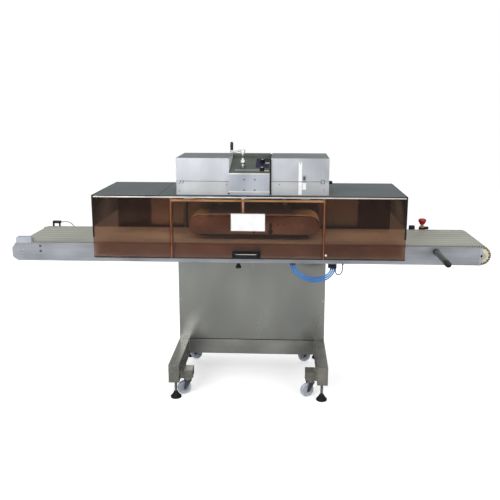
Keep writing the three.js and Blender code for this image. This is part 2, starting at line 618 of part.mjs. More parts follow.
function topHousing() {
  part('housing_base', ALUMINIUM, housingBase());
  part('left_box_cover', ALUMINIUM, boxCover(LEFT_BOX_X));
  part('right_box_cover', ALUMINIUM, boxCover(RIGHT_BOX_X));
  part('left_latch', STEEL, latch(LEFT_BOX_X[0] + 32));
  part('right_latch', STEEL, latch(RIGHT_BOX_X[1] - 35));
  part('console_housing', PANEL_GREY, consoleHousing());
  part('crank', STEEL, crank());
  part('crank_grip', BLACK, crankGrip()).position.set(CRANK[0] - CRANK_ARM, CRANK[1], 0);
  for (const [name, x, y] of KNOBS) {
    const knob = new THREE.Group();
    knob.position.set(x, y, PANEL_Z + (y - CONSOLE_FRONT) * Math.tan(PANEL_TILT));
    knob.rotation.x = PANEL_TILT;
    part(name, BLACK, consoleKnob(), knob);
    machine.add(knob);
  }
}

// ---------------------------------------------------------------- fittings on the rear rail
const ESTOP_X = 1060;
const RAIL_FACE = CONVEYOR_DEPTH + GAP;
const SENSOR_X = [-1289, -1237];
const CABLE_RADIUS = 3;
const CABLE_END = [-1148, CONVEYOR_DEPTH + 14, PLATE_Z + 60];

// From the sensor's end, over the rail's edge and down behind it to its gland.
const SENSOR_CABLE = [
  [-1236.7, 512, 922], [-1228, 512, 922.5], [-1219, 512.5, 923.5], [-1209, 513, 924], [-1199, 513.5, 923.5],
  [-1189, 514.5, 921.5], [-1179, 516, 917], [-1170, 518, 910], [-1163, 521, 901], [-1157, 524.5, 891],
  [-1152, 528, 881], [-1149, 531, 871], [-1148, 531.5, 862], [-1148, 528.5, 855], [-1148, 522, 851.2],
  [-1148, 514, 851],
];

function railFittings() {
  const estopZ = BELT_TOP + 18;
  part('estop_base', DARK_STEEL, cut(
    join(box([ESTOP_X - 18, ESTOP_X + 18], [RAIL_FACE, RAIL_FACE + 34], [BELT_TOP - 27, estopZ - 8]),
      rod(15, [ESTOP_X, RAIL_FACE + 17, estopZ - 10], [ESTOP_X, RAIL_FACE + 17, estopZ]),
      box([ESTOP_X - 110, ESTOP_X - 17], [RAIL_FACE, RAIL_FACE + 8], [BELT_TOP - 27, BELT_TOP - 6]),
      box([ESTOP_X - 82, ESTOP_X - 46], [RAIL_FACE, RAIL_FACE + 26], [BELT_TOP - 26, BELT_TOP + 20]),
      rod(9, [ESTOP_X + 17, RAIL_FACE + 17, BELT_TOP + 4], [ESTOP_X + 40, RAIL_FACE + 17, BELT_TOP + 4], 12)),
    rod(6, [ESTOP_X, RAIL_FACE + 17, estopZ - 26], [ESTOP_X, RAIL_FACE + 17, estopZ + 1], 16)));
  part('estop_button', RED, turned([
    [0, estopZ - 18], [5.4, estopZ - 18], [5.4, estopZ + 7], [13, estopZ + 7], [22, estopZ + 25],
    [25, estopZ + 30], [25, estopZ + 37], [20, estopZ + 43], [0, estopZ + 46],
  ])).position.set(ESTOP_X, RAIL_FACE + 17, 0);
  part('infeed_sensor', BLACK, join(
    box(SENSOR_X, [RAIL_FACE, RAIL_FACE + 22], [BELT_TOP + 14, BELT_TOP + 30]),
    ...[SENSOR_X[0], SENSOR_X[1] - 12].map((x) =>
      box([x, x + 12], [RAIL_FACE, RAIL_FACE + 4], [BELT_TOP - 45, BELT_TOP + 15]))));
  part('sensor_cable', CABLE_GREY, cord(SENSOR_CABLE, CABLE_RADIUS, 8));
}

// ---------------------------------------------------------------- hoses under the conveyor
const HOSE_RADIUS = 4.5;
// Each loop in shares of its own span and sag.
const HOSE_DROP = [
  [0, 0], [0, 0.13], [0.015, 0.28], [0.045, 0.45], [0.1, 0.62], [0.18, 0.78], [0.28, 0.9], [0.4, 0.975],
  [0.52, 1], [0.64, 0.965], [0.75, 0.87], [0.84, 0.74], [0.91, 0.58], [0.955, 0.42], [0.985, 0.26],
  [1, 0.12], [1, 0],
];
const HOSES = [
  ['air_hose_1', 236, 490, 97], ['air_hose_2', 247, 479, 85.5], ['air_hose_3', 258, 468, 74],
];
// The cable leaves its own clip beyond the hoses and comes back up to the fitting behind them.
const LOOP_CABLE = [
  [536, 100, 769.2], [536, 100, 758], [536, 100, 747], [535.5, 100, 736], [534, 100, 726], [531, 100, 716.5],
  [526, 100, 709], [519, 100, 704], [511, 100.5, 702.5], [503.5, 102, 705], [498.5, 104, 711],
  [496, 106, 719], [495.5, 107, 727.5], [495.5, 107, 735.5], [495.5, 107, 744.4],
];

function hoses() {
  const y = (HOSE_BAR.y[0] + HOSE_BAR.y[1]) / 2;
  for (const [name, from, to, sag] of HOSES) {
    const [start, end] = [HOSE_BAR.z - GAP, FITTING.z - GAP];
    const route = HOSE_DROP.map(([along, drop]) =>
      [from + (to - from) * along, y, start + (end - start) * along - sag * drop]);
    part(name, HOSE_BLUE, cord(route, HOSE_RADIUS, 8));
  }
  part('loop_cable', CABLE_GREY, cord(LOOP_CABLE, CABLE_RADIUS, 8));
}

// ---------------------------------------------------------------- the whole machine
stand();
cabinet();
conveyor();
tunnel();
sealingHead();
topHousing();
railFittings();
hoses();

const footprint = {
  x: [INFEED_AXLE - INFEED_OVERHANG, OUTFEED_AXLE + BELT_TURN_RADIUS],
  y: [Math.min(-BAR_REACH, LEG_Y[0]), LEG_Y[1]],
};
const middle = ([low, high]) => (low + high) / 2;
machine.position.set(-middle(footprint.x), -middle(footprint.y), 0);

export default sealer;
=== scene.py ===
"""A continuous band sealer: a modular belt conveyor through a tinted guard tunnel, on a castered stand."""
import json
import math

import bmesh
import bpy
from mathutils import Euler, Matrix, Vector

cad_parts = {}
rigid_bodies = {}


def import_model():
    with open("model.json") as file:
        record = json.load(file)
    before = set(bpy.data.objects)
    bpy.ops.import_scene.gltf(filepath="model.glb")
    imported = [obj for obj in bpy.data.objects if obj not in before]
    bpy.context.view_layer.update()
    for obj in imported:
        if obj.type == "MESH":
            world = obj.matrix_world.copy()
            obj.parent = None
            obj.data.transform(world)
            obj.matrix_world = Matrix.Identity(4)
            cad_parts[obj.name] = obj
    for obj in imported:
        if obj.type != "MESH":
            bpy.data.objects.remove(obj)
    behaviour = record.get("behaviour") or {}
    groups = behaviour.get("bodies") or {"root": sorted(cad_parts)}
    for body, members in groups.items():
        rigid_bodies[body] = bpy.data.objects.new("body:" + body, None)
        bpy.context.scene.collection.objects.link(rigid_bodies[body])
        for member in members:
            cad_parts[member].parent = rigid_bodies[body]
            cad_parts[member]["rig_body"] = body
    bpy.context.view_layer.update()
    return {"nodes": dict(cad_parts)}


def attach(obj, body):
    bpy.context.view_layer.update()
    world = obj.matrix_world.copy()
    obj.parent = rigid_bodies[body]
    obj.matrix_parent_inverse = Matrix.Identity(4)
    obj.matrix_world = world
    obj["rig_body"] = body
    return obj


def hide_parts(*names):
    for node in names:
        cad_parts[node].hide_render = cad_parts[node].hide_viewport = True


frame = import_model()

# The machine's own millimetres count from the front face of the conveyor's front plate, on the floor.
MACHINE_ORIGIN = Vector((6, -169, 0))
MM = 0.001


def at(x, y, z):
    """A point of the machine, in the frame's metres."""
    return (Vector((x, y, z)) + MACHINE_ORIGIN) * MM


# ---------------------------------------------------------------- sizes shared by more than one piece
PLATE_LEFT, PLATE_RIGHT = -1360, 1293
INFEED_AXLE, OUTFEED_AXLE = -1300, 1293
AXLE_HEIGHT = 845
TURN_RADIUS = 55
BELT_THICKNESS = 9
BELT_SIDES = (9, 491)
BELT_WIDTH = (BELT_SIDES[1] - BELT_SIDES[0]) * MM
BELT_TRACKS = 8
TUNNEL = {"x": (-874, 865), "y": (-40, 551), "z": (824, 1176)}
POSTS = (-434, 416)
DOOR = {"x": (-431.7, 413.7), "z": (824, 1159.7)}
SEAM = 1253
LEFT_BOX, RIGHT_BOX = (-405, -111), (121, 440)
BOX_Y = (5, 345)
BOX_TOP = 1380
CONSOLE = (-110, 113)
CONSOLE_FRONT = -20
PANEL_FOOT, PANEL_RUN, PANEL_RISE = 1300, 310, 62
PANEL_TILT = math.atan2(PANEL_RISE, PANEL_RUN)
CRANK = (-39, 85)
CRANK_ARM = 62
BAND_AXLES = (-298, 343)
BAND_HEIGHT, BAND_RADIUS, BAND_THICKNESS = 982.5, 60, 3
BAND_SIDES = (130, 350)
LEG_Y = (-144, 644)


# ---------------------------------------------------------------- stage, camera, light
EYE = (0.202, -3.959, 1.719)
EYE_DOWN, EYE_TURN = 0.2212, 0.0503
LENS, SENSOR_WIDTH = 49.68, 36

# Each lamp's name, place, aim, size, power, and whether the camera and reflections see it.
LAMPS = [
    ("key", (-2.0, -4.2, 2.5), (0, 0, 0.8), (2.6, 2.0), 135, True),
    ("fill", (2.8, -3.6, 1.9), (0, 0, 0.7), (2.4, 2.0), 55, True),
    ("rear", (0.4, 3.4, 3.2), (0, 0, 0.9), (3.0, 1.6), 50, False),
    ("inner_left", (-0.62, 0.05, 1.14), (-0.62, 0.1, 0.9), (0.4, 0.3), 0.9, False),
    ("inner_right", (0.64, 0.05, 1.14), (0.64, 0.1, 0.9), (0.4, 0.3), 0.9, False),
    ("inner_front", (0, -0.17, 1.12), (0, 0.1, 0.95), (0.7, 0.05), 1.0, False),
]


def camera():
    data = bpy.data.cameras.new("camera")
    data.lens = LENS
    data.sensor_width = SENSOR_WIDTH
    eye = bpy.data.objects.new("camera", data)
    eye.location = EYE
    eye.rotation_euler = Euler((math.pi / 2 - EYE_DOWN, 0, EYE_TURN))
    bpy.context.scene.collection.objects.link(eye)
    bpy.context.scene.camera = eye


def soft_light(name, place, aim, size, power, seen):
    data = bpy.data.lights.new(name, "AREA")
    data.shape = "RECTANGLE"
    data.size, data.size_y = size
    data.energy = power
    lamp = bpy.data.objects.new(name, data)
    lamp.location = place
    lamp.rotation_euler = (Vector(aim) - Vector(place)).to_track_quat("-Z", "Y").to_euler()
    lamp.visible_camera = seen
    lamp.visible_glossy = seen
    bpy.context.scene.collection.objects.link(lamp)


def studio():
    """White to the eye, and a soft room to everything that it lights."""
    world = bpy.data.worlds.new("studio")
    world.use_nodes = True
    bpy.context.scene.world = world
    nodes, links = world.node_tree.nodes, world.node_tree.links
    nodes.clear()
    place = nodes.new("ShaderNodeTexCoord")
    split = nodes.new("ShaderNodeSeparateXYZ")
    links.new(place.outputs["Generated"], split.inputs[0])
    ramp = nodes.new("ShaderNodeValToRGB")
    ramp.color_ramp.elements[0].position = 0.35
    ramp.color_ramp.elements[0].color = (0.55, 0.55, 0.56, 1)
    ramp.color_ramp.elements[1].position = 1
    ramp.color_ramp.elements[1].color = (1, 1, 1, 1)
    for position, grey in ((0.5, 0.42), (0.62, 0.6)):
        stop = ramp.color_ramp.elements.new(position)
        stop.color = (grey, grey, grey * 1.03, 1)
    rise = nodes.new("ShaderNodeMapRange")
    rise.inputs["From Min"].default_value = -1
    links.new(split.outputs["Z"], rise.inputs["Value"])
    links.new(rise.outputs[0], ramp.inputs[0])
    room = nodes.new("ShaderNodeBackground")
    room.inputs["Strength"].default_value = 0.75
    links.new(ramp.outputs[0], room.inputs["Color"])
    white = nodes.new("ShaderNodeBackground")
    white.inputs["Color"].default_value = (1, 1, 1, 1)
    ray = nodes.new("ShaderNodeLightPath")
    mix = nodes.new("ShaderNodeMixShader")
    links.new(ray.outputs["Is Camera Ray"], mix.inputs[0])
    links.new(room.outputs[0], mix.inputs[1])
    links.new(white.outputs[0], mix.inputs[2])
    out = nodes.new("ShaderNodeOutputWorld")
    links.new(mix.outputs[0], out.inputs[0])

    for lamp in LAMPS:
        soft_light(*lamp)
    view = bpy.context.scene.view_settings
    view.view_transform = "Standard"
    view.look = "None"
    view.exposure = 0
    view.gamma = 1


# ---------------------------------------------------------------- shader groups
def new_group(name, inputs, output):
    tree = bpy.data.node_groups.new(name, "ShaderNodeTree")
    for label, kind, value in inputs:
        socket = tree.interface.new_socket(label, in_out="INPUT", socket_type=kind)
        socket.default_value = value
    tree.interface.new_socket(output, in_out="OUTPUT", socket_type="NodeSocketFloat")
    return tree, tree.nodes.new("NodeGroupInput"), tree.nodes.new("NodeGroupOutput")


def object_axis(tree, axis):
    """One of the object's own coordinates."""
    place = tree.nodes.new("ShaderNodeTexCoord")
    split = tree.nodes.new("ShaderNodeSeparateXYZ")
    tree.links.new(place.outputs["Object"], split.inputs[0])
    return split.outputs[axis]


def stretched_noise(tree, stretch, detail, roughness=0.55):
    """Noise on object coordinates, drawn out by the socket that holds the stretch."""
    place = tree.nodes.new("ShaderNodeTexCoord")
    scaled = tree.nodes.new("ShaderNodeVectorMath")
    scaled.operation = "MULTIPLY"
    tree.links.new(place.outputs["Object"], scaled.inputs[0])
    tree.links.new(stretch, scaled.inputs[1])
    noise = tree.nodes.new("ShaderNodeTexNoise")
    noise.inputs["Scale"].default_value = 1
    noise.inputs["Detail"].default_value = detail
    noise.inputs["Roughness"].default_value = roughness
    tree.links.new(scaled.outputs[0], noise.inputs["Vector"])
    return noise.outputs["Fac"]


def mapped(tree, value, low, high, to_low=0.0, to_high=1.0):
    node = tree.nodes.new("ShaderNodeMapRange")
    tree.links.new(value, node.inputs["Value"])
    for label, number in (("From Min", low), ("From Max", high), ("To Min", to_low), ("To Max", to_high)):
        if isinstance(number, (int, float)):
            node.inputs[label].default_value = number
        else:
            tree.links.new(number, node.inputs[label])
    return node.outputs[0]


def maths(tree, operation, first, second=None):
    node = tree.nodes.new("ShaderNodeMath")
    node.operation = operation
    for slot, value in enumerate((first, second)):
        if isinstance(value, (int, float)):
            node.inputs[slot].default_value = value
        elif value is not None:
            tree.links.new(value, node.inputs[slot])
    return node.outputs[0]


def grain_group():
    """Brush lines, moulding grain or cast texture, by how far the noise is stretched."""
    tree, given, out = new_group("surface_grain", [("Stretch", "NodeSocketVector", (60, 60, 60))], "Grain")
    noise = stretched_noise(tree, given.outputs["Stretch"], 4)
    tree.links.new(mapped(tree, noise, 0.3, 0.7), out.inputs["Grain"])
    return tree


def cloud_group():
    """Broad patches, as handling marks and uneven polish leave them."""
    tree, given, out = new_group("broad_patches", [("Size", "NodeSocketVector", (5, 5, 5))], "Patches")
    noise = stretched_noise(tree, given.outputs["Size"], 2, 0.5)
    tree.links.new(mapped(tree, noise, 0.32, 0.68), out.inputs["Patches"])
    return tree


def scratch_group():
    """Sparse fine scratches running along the long side of the stretch."""
    tree, given, out = new_group("scratches", [
        ("Stretch", "NodeSocketVector", (8, 8, 300)), ("Cover", "NodeSocketFloat", 0.3)], "Scratches")
    lines = stretched_noise(tree, given.outputs["Stretch"], 1, 0.3)
    thin = mapped(tree, maths(tree, "ABSOLUTE", maths(tree, "SUBTRACT", lines, 0.5)), 0.012, 0.0)
    here = stretched_noise(tree, given.outputs["Stretch"], 0, 0.3)
    patchy = mapped(tree, here, 0.45, 0.65)
    faint = maths(tree, "MULTIPLY", maths(tree, "MULTIPLY", thin, patchy), given.outputs["Cover"])
    tree.links.new(faint, out.inputs["Scratches"])
    return tree


def dust_group():
    """Dust that gathers low on the machine and thins out upwards."""
    tree, given, out = new_group("floor_dust", [
        ("Height", "NodeSocketFloat", 0.2), ("Amount", "NodeSocketFloat", 0.3)], "Dust")
    low = mapped(tree, object_axis(tree, "Z"), given.outputs["Height"], 0.0)
    place = tree.nodes.new("ShaderNodeTexCoord")
    noise = tree.nodes.new("ShaderNodeTexNoise")
    noise.inputs["Scale"].default_value = 55
    noise.inputs["Detail"].default_value = 5
    tree.links.new(place.outputs["Object"], noise.inputs["Vector"])
    mottled = mapped(tree, noise.outputs["Fac"], 0.35, 0.7)
    lying = maths(tree, "MULTIPLY", maths(tree, "MULTIPLY", low, mottled), given.outputs["Amount"])
    tree.links.new(lying, out.inputs["Dust"])
    return tree


GRAIN, CLOUD, SCRATCH, DUST = grain_group(), cloud_group(), scratch_group(), dust_group()


# ---------------------------------------------------------------- finishes
SCRATCH_COLOUR, DUST_COLOUR = 0xDADADA, 0x8A8274


def linear(code):
    """A six-digit colour code in the shader's linear light."""
    channels = [(code >> shift & 255) / 255 for shift in (16, 8, 0)]
    return tuple(c / 12.92 if c <= 0.04045 else ((c + 0.055) / 1.055) ** 2.4 for c in channels) + (1,)


def use_group(tree, group, **values):
    node = tree.nodes.new("ShaderNodeGroup")
    node.node_tree = group
    for label, value in values.items():
        node.inputs[label].default_value = value
    return node.outputs[0]


def blended(tree, factor, first, second):
    """A colour between two, each a colour code or a socket."""
    node = tree.nodes.new("ShaderNodeMix")
    node.data_type = "RGBA"
    tree.links.new(factor, node.inputs[0])
    for socket, colour in ((node.inputs[6], first), (node.inputs[7], second)):
        if isinstance(colour, int):
            socket.default_value = linear(colour)
        else:
            tree.links.new(colour, socket)
    return node.outputs[2]


def bump(tree, shader, height, depth):
    node = tree.nodes.new("ShaderNodeBump")
    node.inputs["Strength"].default_value = 1
    node.inputs["Distance"].default_value = depth
    tree.links.new(height, node.inputs["Height"])
    tree.links.new(node.outputs[0], shader.inputs["Normal"])


def finish(name, dark, light, roughness, metallic=0.0, stretch=(60, 60, 60), size=(5, 5, 5),
           patch=(0.25, 0.75), scratch=0.0, dust=0.0, depth=0.0, **constants):
    """A surface whose colour, gloss and relief come from grain, broad patches, scratches and dust.

    Stretch and size are how often grain and patches repeat along each axis, patch is how much each of them
    counts, depth is the grain's relief in metres, and the constants go on the shader's own sockets.
    """
    made = bpy.data.materials.new(name)
    made.use_nodes = True
    tree = made.node_tree
    shader = tree.nodes["Principled BSDF"]
    shader.inputs["Metallic"].default_value = metallic
    for label, value in constants.items():
        shader.inputs[label.replace("_", " ")].default_value = value
    grain = use_group(tree, GRAIN, Stretch=stretch)
    patches = use_group(tree, CLOUD, Size=size)
    fine = maths(tree, "MULTIPLY", grain, patch[0])
    weight = maths(tree, "ADD", fine, maths(tree, "MULTIPLY", patches, patch[1]))
    colour = blended(tree, weight, dark, light)
    gloss = mapped(tree, weight, 0, 1, roughness[0], roughness[1])
    if scratch:
        along = tuple(max(side / 4, 3) for side in stretch)
        marks = use_group(tree, SCRATCH, Stretch=along, Cover=scratch)
        colour = blended(tree, marks, colour, SCRATCH_COLOUR)
    if dust:
        grit = use_group(tree, DUST, Amount=dust)
        colour = blended(tree, grit, colour, DUST_COLOUR)
        gloss = maths(tree, "MAXIMUM", gloss, maths(tree, "MULTIPLY", grit, 0.8))
    tree.links.new(colour, shader.inputs["Base Color"])
    tree.links.new(gloss, shader.inputs["Roughness"])
    if depth:
        bump(tree, shader, grain, depth)
    return made


ALONG_X = (3, 220, 220)
ALONG_Y = (220, 3, 220)
ALONG_Z = (220, 220, 3)

FINISH = {
    "side_plate": finish("side_plate_steel", 0x8F9298, 0xB4B7BF, (0.3, 0.45), 0.85, ALONG_X, (4, 4, 9),
                         scratch=0.25, depth=0.00003),
    "cabinet": finish("cabinet_steel", 0x8E908D, 0xA4A6A2, (0.2, 0.3), 0.85, ALONG_Z, (4, 4, 2),
                      patch=(0.12, 0.88), depth=0.00001),
    "stand": finish("stand_steel", 0x7E7C76, 0xA3A19A, (0.22, 0.38), 0.85, ALONG_Y, (9, 5, 9),
                    scratch=0.3, dust=0.3, depth=0.00002),
    "crossbeam": finish("crossbeam_steel", 0x8F8F8C, 0xAFAFAB, (0.26, 0.42), 0.85, ALONG_X, (5, 9, 9),
                        scratch=0.25, dust=0.25, depth=0.00002),
    "bright_steel": finish("bright_steel", 0xB2B3B3, 0xDEDEDC, (0.16, 0.3), 1.0, (90, 90, 90), (20, 20, 20)),
    "dark_steel": finish("dark_zinc", 0x44484B, 0x6C7073, (0.35, 0.5), 0.8, (120, 120, 120), (18, 18, 18),
                         dust=0.3, depth=0.00002),
    "gunmetal": finish("gunmetal_tube", 0x484B46, 0x62655F, (0.25, 0.4), 0.7, ALONG_Y, (14, 14, 14),
                       depth=0.00001),
    "box": finish("box_aluminium", 0xA9ACB2, 0xC7CACF, (0.34, 0.5), 0.55, ALONG_Z, (6, 6, 4),
                  scratch=0.2, depth=0.00002),
    "box_base": finish("box_base_aluminium", 0xA9ABAE, 0xC3C4C6, (0.36, 0.5), 0.55, ALONG_X, (6, 6, 6),
                       scratch=0.2, depth=0.00002),
    "panel": finish("console_panel_grey", 0x4F554F, 0x646B64, (0.5, 0.62), 0.1, ALONG_Y, (10, 6, 10),
                    scratch=0.1, depth=0.00002, Specular_IOR_Level=0.25),
    "lid": finish("box_lid_grey", 0x6E7474, 0x848A8A, (0.5, 0.62), 0.2, ALONG_X, (6, 8, 6),
                  scratch=0.15, depth=0.00002, Specular_IOR_Level=0.25),
    "tunnel_top": finish("tunnel_top_steel", 0x576060, 0x6B7373, (0.5, 0.62), 0.2, ALONG_X, (3, 5, 5),
                         scratch=0.15, depth=0.00002, Specular_IOR_Level=0.25),
    "trim": finish("trim_aluminium", 0xC9C5BE, 0xEFECE6, (0.25, 0.4), 0.6, ALONG_X, (8, 8, 8),
                   depth=0.00002),
    "rubber": finish("black_rubber", 0x0A0A0A, 0x161616, (0.55, 0.75), 0, (300, 300, 300), (30, 30, 30),
                     depth=0.00004, Specular_IOR_Level=0.25),
    "black": finish("black_plastic", 0x0B0B0C, 0x161617, (0.28, 0.42), 0, (450, 450, 450), (30, 30, 30),
                    depth=0.00003, Specular_IOR_Level=0.35),
    "navy": finish("navy_label", 0x10142A, 0x1C223C, (0.5, 0.6), 0, (200, 200, 200), (20, 20, 20),
                   Specular_IOR_Level=0.2),
    "amber": finish("amber_edge_strip", 0x94683F, 0xB98A63, (0.25, 0.4), 0.4, ALONG_X, (6, 12, 12),
                    depth=0.00002),
    "cover": finish("lavender_cover", 0x9A9EA8, 0xB2B6BF, (0.35, 0.5), 0.1, (120, 260, 120), (8, 8, 8),
                    depth=0.00002),
    "console": finish("console_sheet", 0x9CA1AB, 0xB8BCC5, (0.34, 0.48), 0.55, ALONG_Z, (6, 6, 4),
                      depth=0.00002),
    "cog": finish("yellowed_acetal", 0xB7B190, 0xD2CCAE, (0.4, 0.55), 0, (260, 260, 260), (20, 20, 20),
                  depth=0.00003),
    "dark_cable": finish("dark_cable", 0x3A3D40, 0x565A5E, (0.45, 0.6), 0, (400, 400, 400), (20, 20, 20),
                         depth=0.00003),
    "white": finish("white_label", 0xE2E3E4, 0xF6F6F6, (0.3, 0.42), 0, (90, 90, 90), (20, 20, 20)),
    "tyre": finish("pale_blue_tyre", 0xA9B4C6, 0xC8D1DF, (0.4, 0.55), 0, (180, 180, 180), (30, 30, 30),
                   dust=0.4, depth=0.00004),
    "red": finish("red_plastic", 0xA3120F, 0xC41F18, (0.18, 0.3), 0, (300, 300, 300), (40, 40, 40),
                  Coat_Weight=0.4),
    "beige": finish("beige_plastic", 0x9C8154, 0xBDA274, (0.4, 0.55), 0, (260, 260, 260), (40, 40, 40)),
    "hose": finish("blue_hose", 0x2A6CB6, 0x4E94D4, (0.16, 0.28), 0, (140, 140, 140), (12, 12, 12),
                   Subsurface_Weight=0.1),
    "cable": finish("grey_cable", 0x8C9094, 0xACB0B4, (0.45, 0.6), 0, (400, 400, 400), (20, 20, 20),
                    depth=0.00003),
    "brass": finish("brass", 0x9A7B3A, 0xC2A45E, (0.25, 0.4), 1.0, ALONG_X, (12, 12, 12), depth=0.00002),
    "band": finish("sealing_band", 0xA79878, 0xCDBF9D, (0.4, 0.55), 0, ALONG_X, (6, 14, 14), depth=0.00003),
}


def belting():
    """Acetal modules, a little yellowed along each track of links."""
    made = finish("belt_modules", 0x8E9189, 0xA8AAA2, (0.38, 0.52), 0, (90, 260, 260), (2.5, 8, 8),
                  depth=0.00004)
    tree = made.node_tree
    shader = tree.nodes["Principled BSDF"]
    turns = maths(tree, "MULTIPLY", object_axis(tree, "Y"), 2 * math.pi * BELT_TRACKS / BELT_WIDTH)
    track = mapped(tree, maths(tree, "SINE", turns), -0.7, 0.9)
    before = shader.inputs["Base Color"].links[0].from_socket
    patches = use_group(tree, CLOUD, Size=(1.6, 12, 12))
    yellow = maths(tree, "MULTIPLY", track, mapped(tree, patches, 0, 1, 0.35, 0.8))
    tree.links.new(blended(tree, yellow, before, 0xBEBCA9), shader.inputs["Base Color"])
    return made


def tint(name, dark, light):
    """Bronze acrylic: a clear brown sheet with a hard gloss and faint wiping streaks."""
    return finish(name, dark, light, (0.02, 0.06), 0, (3, 3, 14), (2.2, 2.2, 3), patch=(0.2, 0.8),
                  Transmission_Weight=1.0, IOR=1.4, Specular_IOR_Level=0.35)


FINISH["belting"] = belting()
FINISH["tint"] = tint("bronze_acrylic", 0xBC8C70, 0xCC9E84)
FINISH["rear_tint"] = tint("dark_bronze_acrylic", 0x5E3D2D, 0x6E4B39)


# ---------------------------------------------------------------- making pieces
SMOOTH_BELOW = math.radians(38)
SHARP_ABOVE = math.radians(40)


def piece(name, bm, look, body="frame", replaces=(), weighted=True):
    """Turns a bmesh into an object that rides on a body."""
    bmesh.ops.recalc_face_normals(bm, faces=bm.faces)
    for face in bm.faces:
        face.smooth = True
    for edge in bm.edges:
        edge.smooth = edge.calc_face_angle(0) < SMOOTH_BELOW
    mesh = bpy.data.meshes.new(name)
    bm.to_mesh(mesh)
    bm.free()
    mesh.materials.append(FINISH[look])
    made = bpy.data.objects.new(name, mesh)
    bpy.context.scene.collection.objects.link(made)
    if weighted:
        normals = made.modifiers.new("face_normals", "WEIGHTED_NORMAL")
        normals.keep_sharp = True
    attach(made, body)
    if replaces:
        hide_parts(*replaces)
    return made


def soften(bm, edges, radius, segments=2):
    bmesh.ops.bevel(bm, geom=edges, offset=radius * MM, offset_type="OFFSET", segments=segments, profile=0.5,
                    affect="EDGES", clamp_overlap=True, material=-1)


def edges_of(verts):
    return list({edge for vert in verts for edge in vert.link_edges})


def rim_edges(verts):
    """The edges round a bar's flat ends."""
    ends = {face for vert in verts for face in vert.link_faces if len(face.verts) > 4}
    return [edge for end in ends for edge in end.edges]


def block(bm, x, y, z, radius=0.0, segments=2):
    """A rectangular block between machine coordinates, with its edges rounded."""
    low, high = at(x[0], y[0], z[0]), at(x[1], y[1], z[1])
    place = Matrix.Translation((low + high) / 2) @ Matrix.Diagonal((high - low).to_4d())
    made = bmesh.ops.create_cube(bm, size=1, matrix=place)
    if radius:
        soften(bm, edges_of(made["verts"]), radius, segments)


def bar(bm, start, end, radius, sides=24, ease=0.0):
    """A round bar between two machine points, its end edges rounded by ease."""
    first, last = at(*start), at(*end)
    run = last - first
    turn = run.to_track_quat("Z", "Y").to_matrix().to_4x4()
    place = Matrix.Translation((first + last) / 2) @ turn
    made = bmesh.ops.create_cone(bm, cap_ends=True, segments=sides, radius1=radius * MM,
                                 radius2=radius * MM, depth=run.length, matrix=place)
    if ease:
        soften(bm, rim_edges(made["verts"]), ease)


def lathe(bm, profile, place, steps=32):
    """Spins a profile of radius and height about the Z axis of a placing matrix. It closes on the axis."""
    turned = bmesh.new()
    verts = [turned.verts.new((radius * MM, 0, height * MM)) for radius, height in profile]
    edges = [turned.edges.new(pair) for pair in zip(verts, verts[1:])]
    bmesh.ops.spin(turned, geom=verts + edges, cent=(0, 0, 0), axis=(0, 0, 1), angle=2 * math.pi,
                   steps=steps, use_merge=True)
    bmesh.ops.remove_doubles(turned, verts=turned.verts, dist=1e-6)
    bmesh.ops.transform(turned, matrix=place, verts=turned.verts)
    mesh = bpy.data.meshes.new("turned")
    turned.to_mesh(mesh)
    turned.free()
    bm.from_mesh(mesh)
    bpy.data.meshes.remove(mesh)


def plate(bm, corners, run, radius=0.0):
    """A flat outline through machine points, drawn out by a run in millimetres."""
    verts = [bm.verts.new(at(*corner)) for corner in corners]
    grown = bmesh.ops.extrude_face_region(bm, geom=[bm.faces.new(verts)])
    moved = [item for item in grown["geom"] if isinstance(item, bmesh.types.BMVert)]
    bmesh.ops.translate(bm, vec=Vector(run) * MM, verts=moved)
    if radius:
        soften(bm, edges_of(verts + moved), radius, 1)


def upright(x, y, z=0.0, turn=0.0):
    return Matrix.Translation(at(x, y, z)) @ Matrix.Rotation(turn, 4, "Z")


def facing(x, y, z, direction):
    """Places a turned shape with its axis along a direction."""
    return Matrix.Translation(at(x, y, z)) @ Vector(direction).to_track_quat("Z", "Y").to_matrix().to_4x4()


def copy_of(node):
    bm = bmesh.new()
    bm.from_mesh(frame["nodes"][node].data)
    bmesh.ops.remove_doubles(bm, verts=bm.verts, dist=1e-5)
    bmesh.ops.dissolve_limit(bm, angle_limit=math.radians(1), verts=bm.verts, edges=bm.edges)
    return bm


def eased(node, look, radius, segments=2):
    """The designed solid with its sharp edges rounded, standing in for it."""
    bm = copy_of(node)
    sharp = [edge for edge in bm.edges if edge.is_manifold and edge.calc_face_angle(0) > SHARP_ABOVE]
    soften(bm, sharp, radius, segments)
    return piece(node + "_shape", bm, look, frame["nodes"][node]["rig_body"], (node,))


def blocks(name, look, boxes, body="frame"):
    """One piece of several blocks, each given by its x, y, z and edge radius."""
    bm = bmesh.new()
    for box in boxes:
        block(bm, *box)
    return piece(name, bm, look, body)


# ---------------------------------------------------------------- cords
SENSOR_CABLE = [
    (-1236.7, 512, 922), (-1228, 512, 922.5), (-1219, 512.5, 923.5), (-1209, 513, 924),
    (-1199, 513.5, 923.5), (-1189, 514.5, 921.5), (-1179, 516, 917), (-1170, 518, 910),
    (-1163, 521, 901), (-1157, 524.5, 891), (-1152, 528, 881), (-1149, 531, 871),
    (-1148, 531.5, 862), (-1148, 528.5, 855), (-1148, 522, 851.2), (-1148, 514, 851),
]
LOOP_CABLE = [
    (536, 100, 769.2), (536, 100, 758), (536, 100, 747), (535.5, 100, 736),
    (534, 100, 726), (531, 100, 716.5), (526, 100, 709), (519, 100, 704),
    (511, 100.5, 702.5), (503.5, 102, 705), (498.5, 104, 711), (496, 106, 719),
    (495.5, 107, 727.5), (495.5, 107, 735.5), (495.5, 107, 744.4),
]
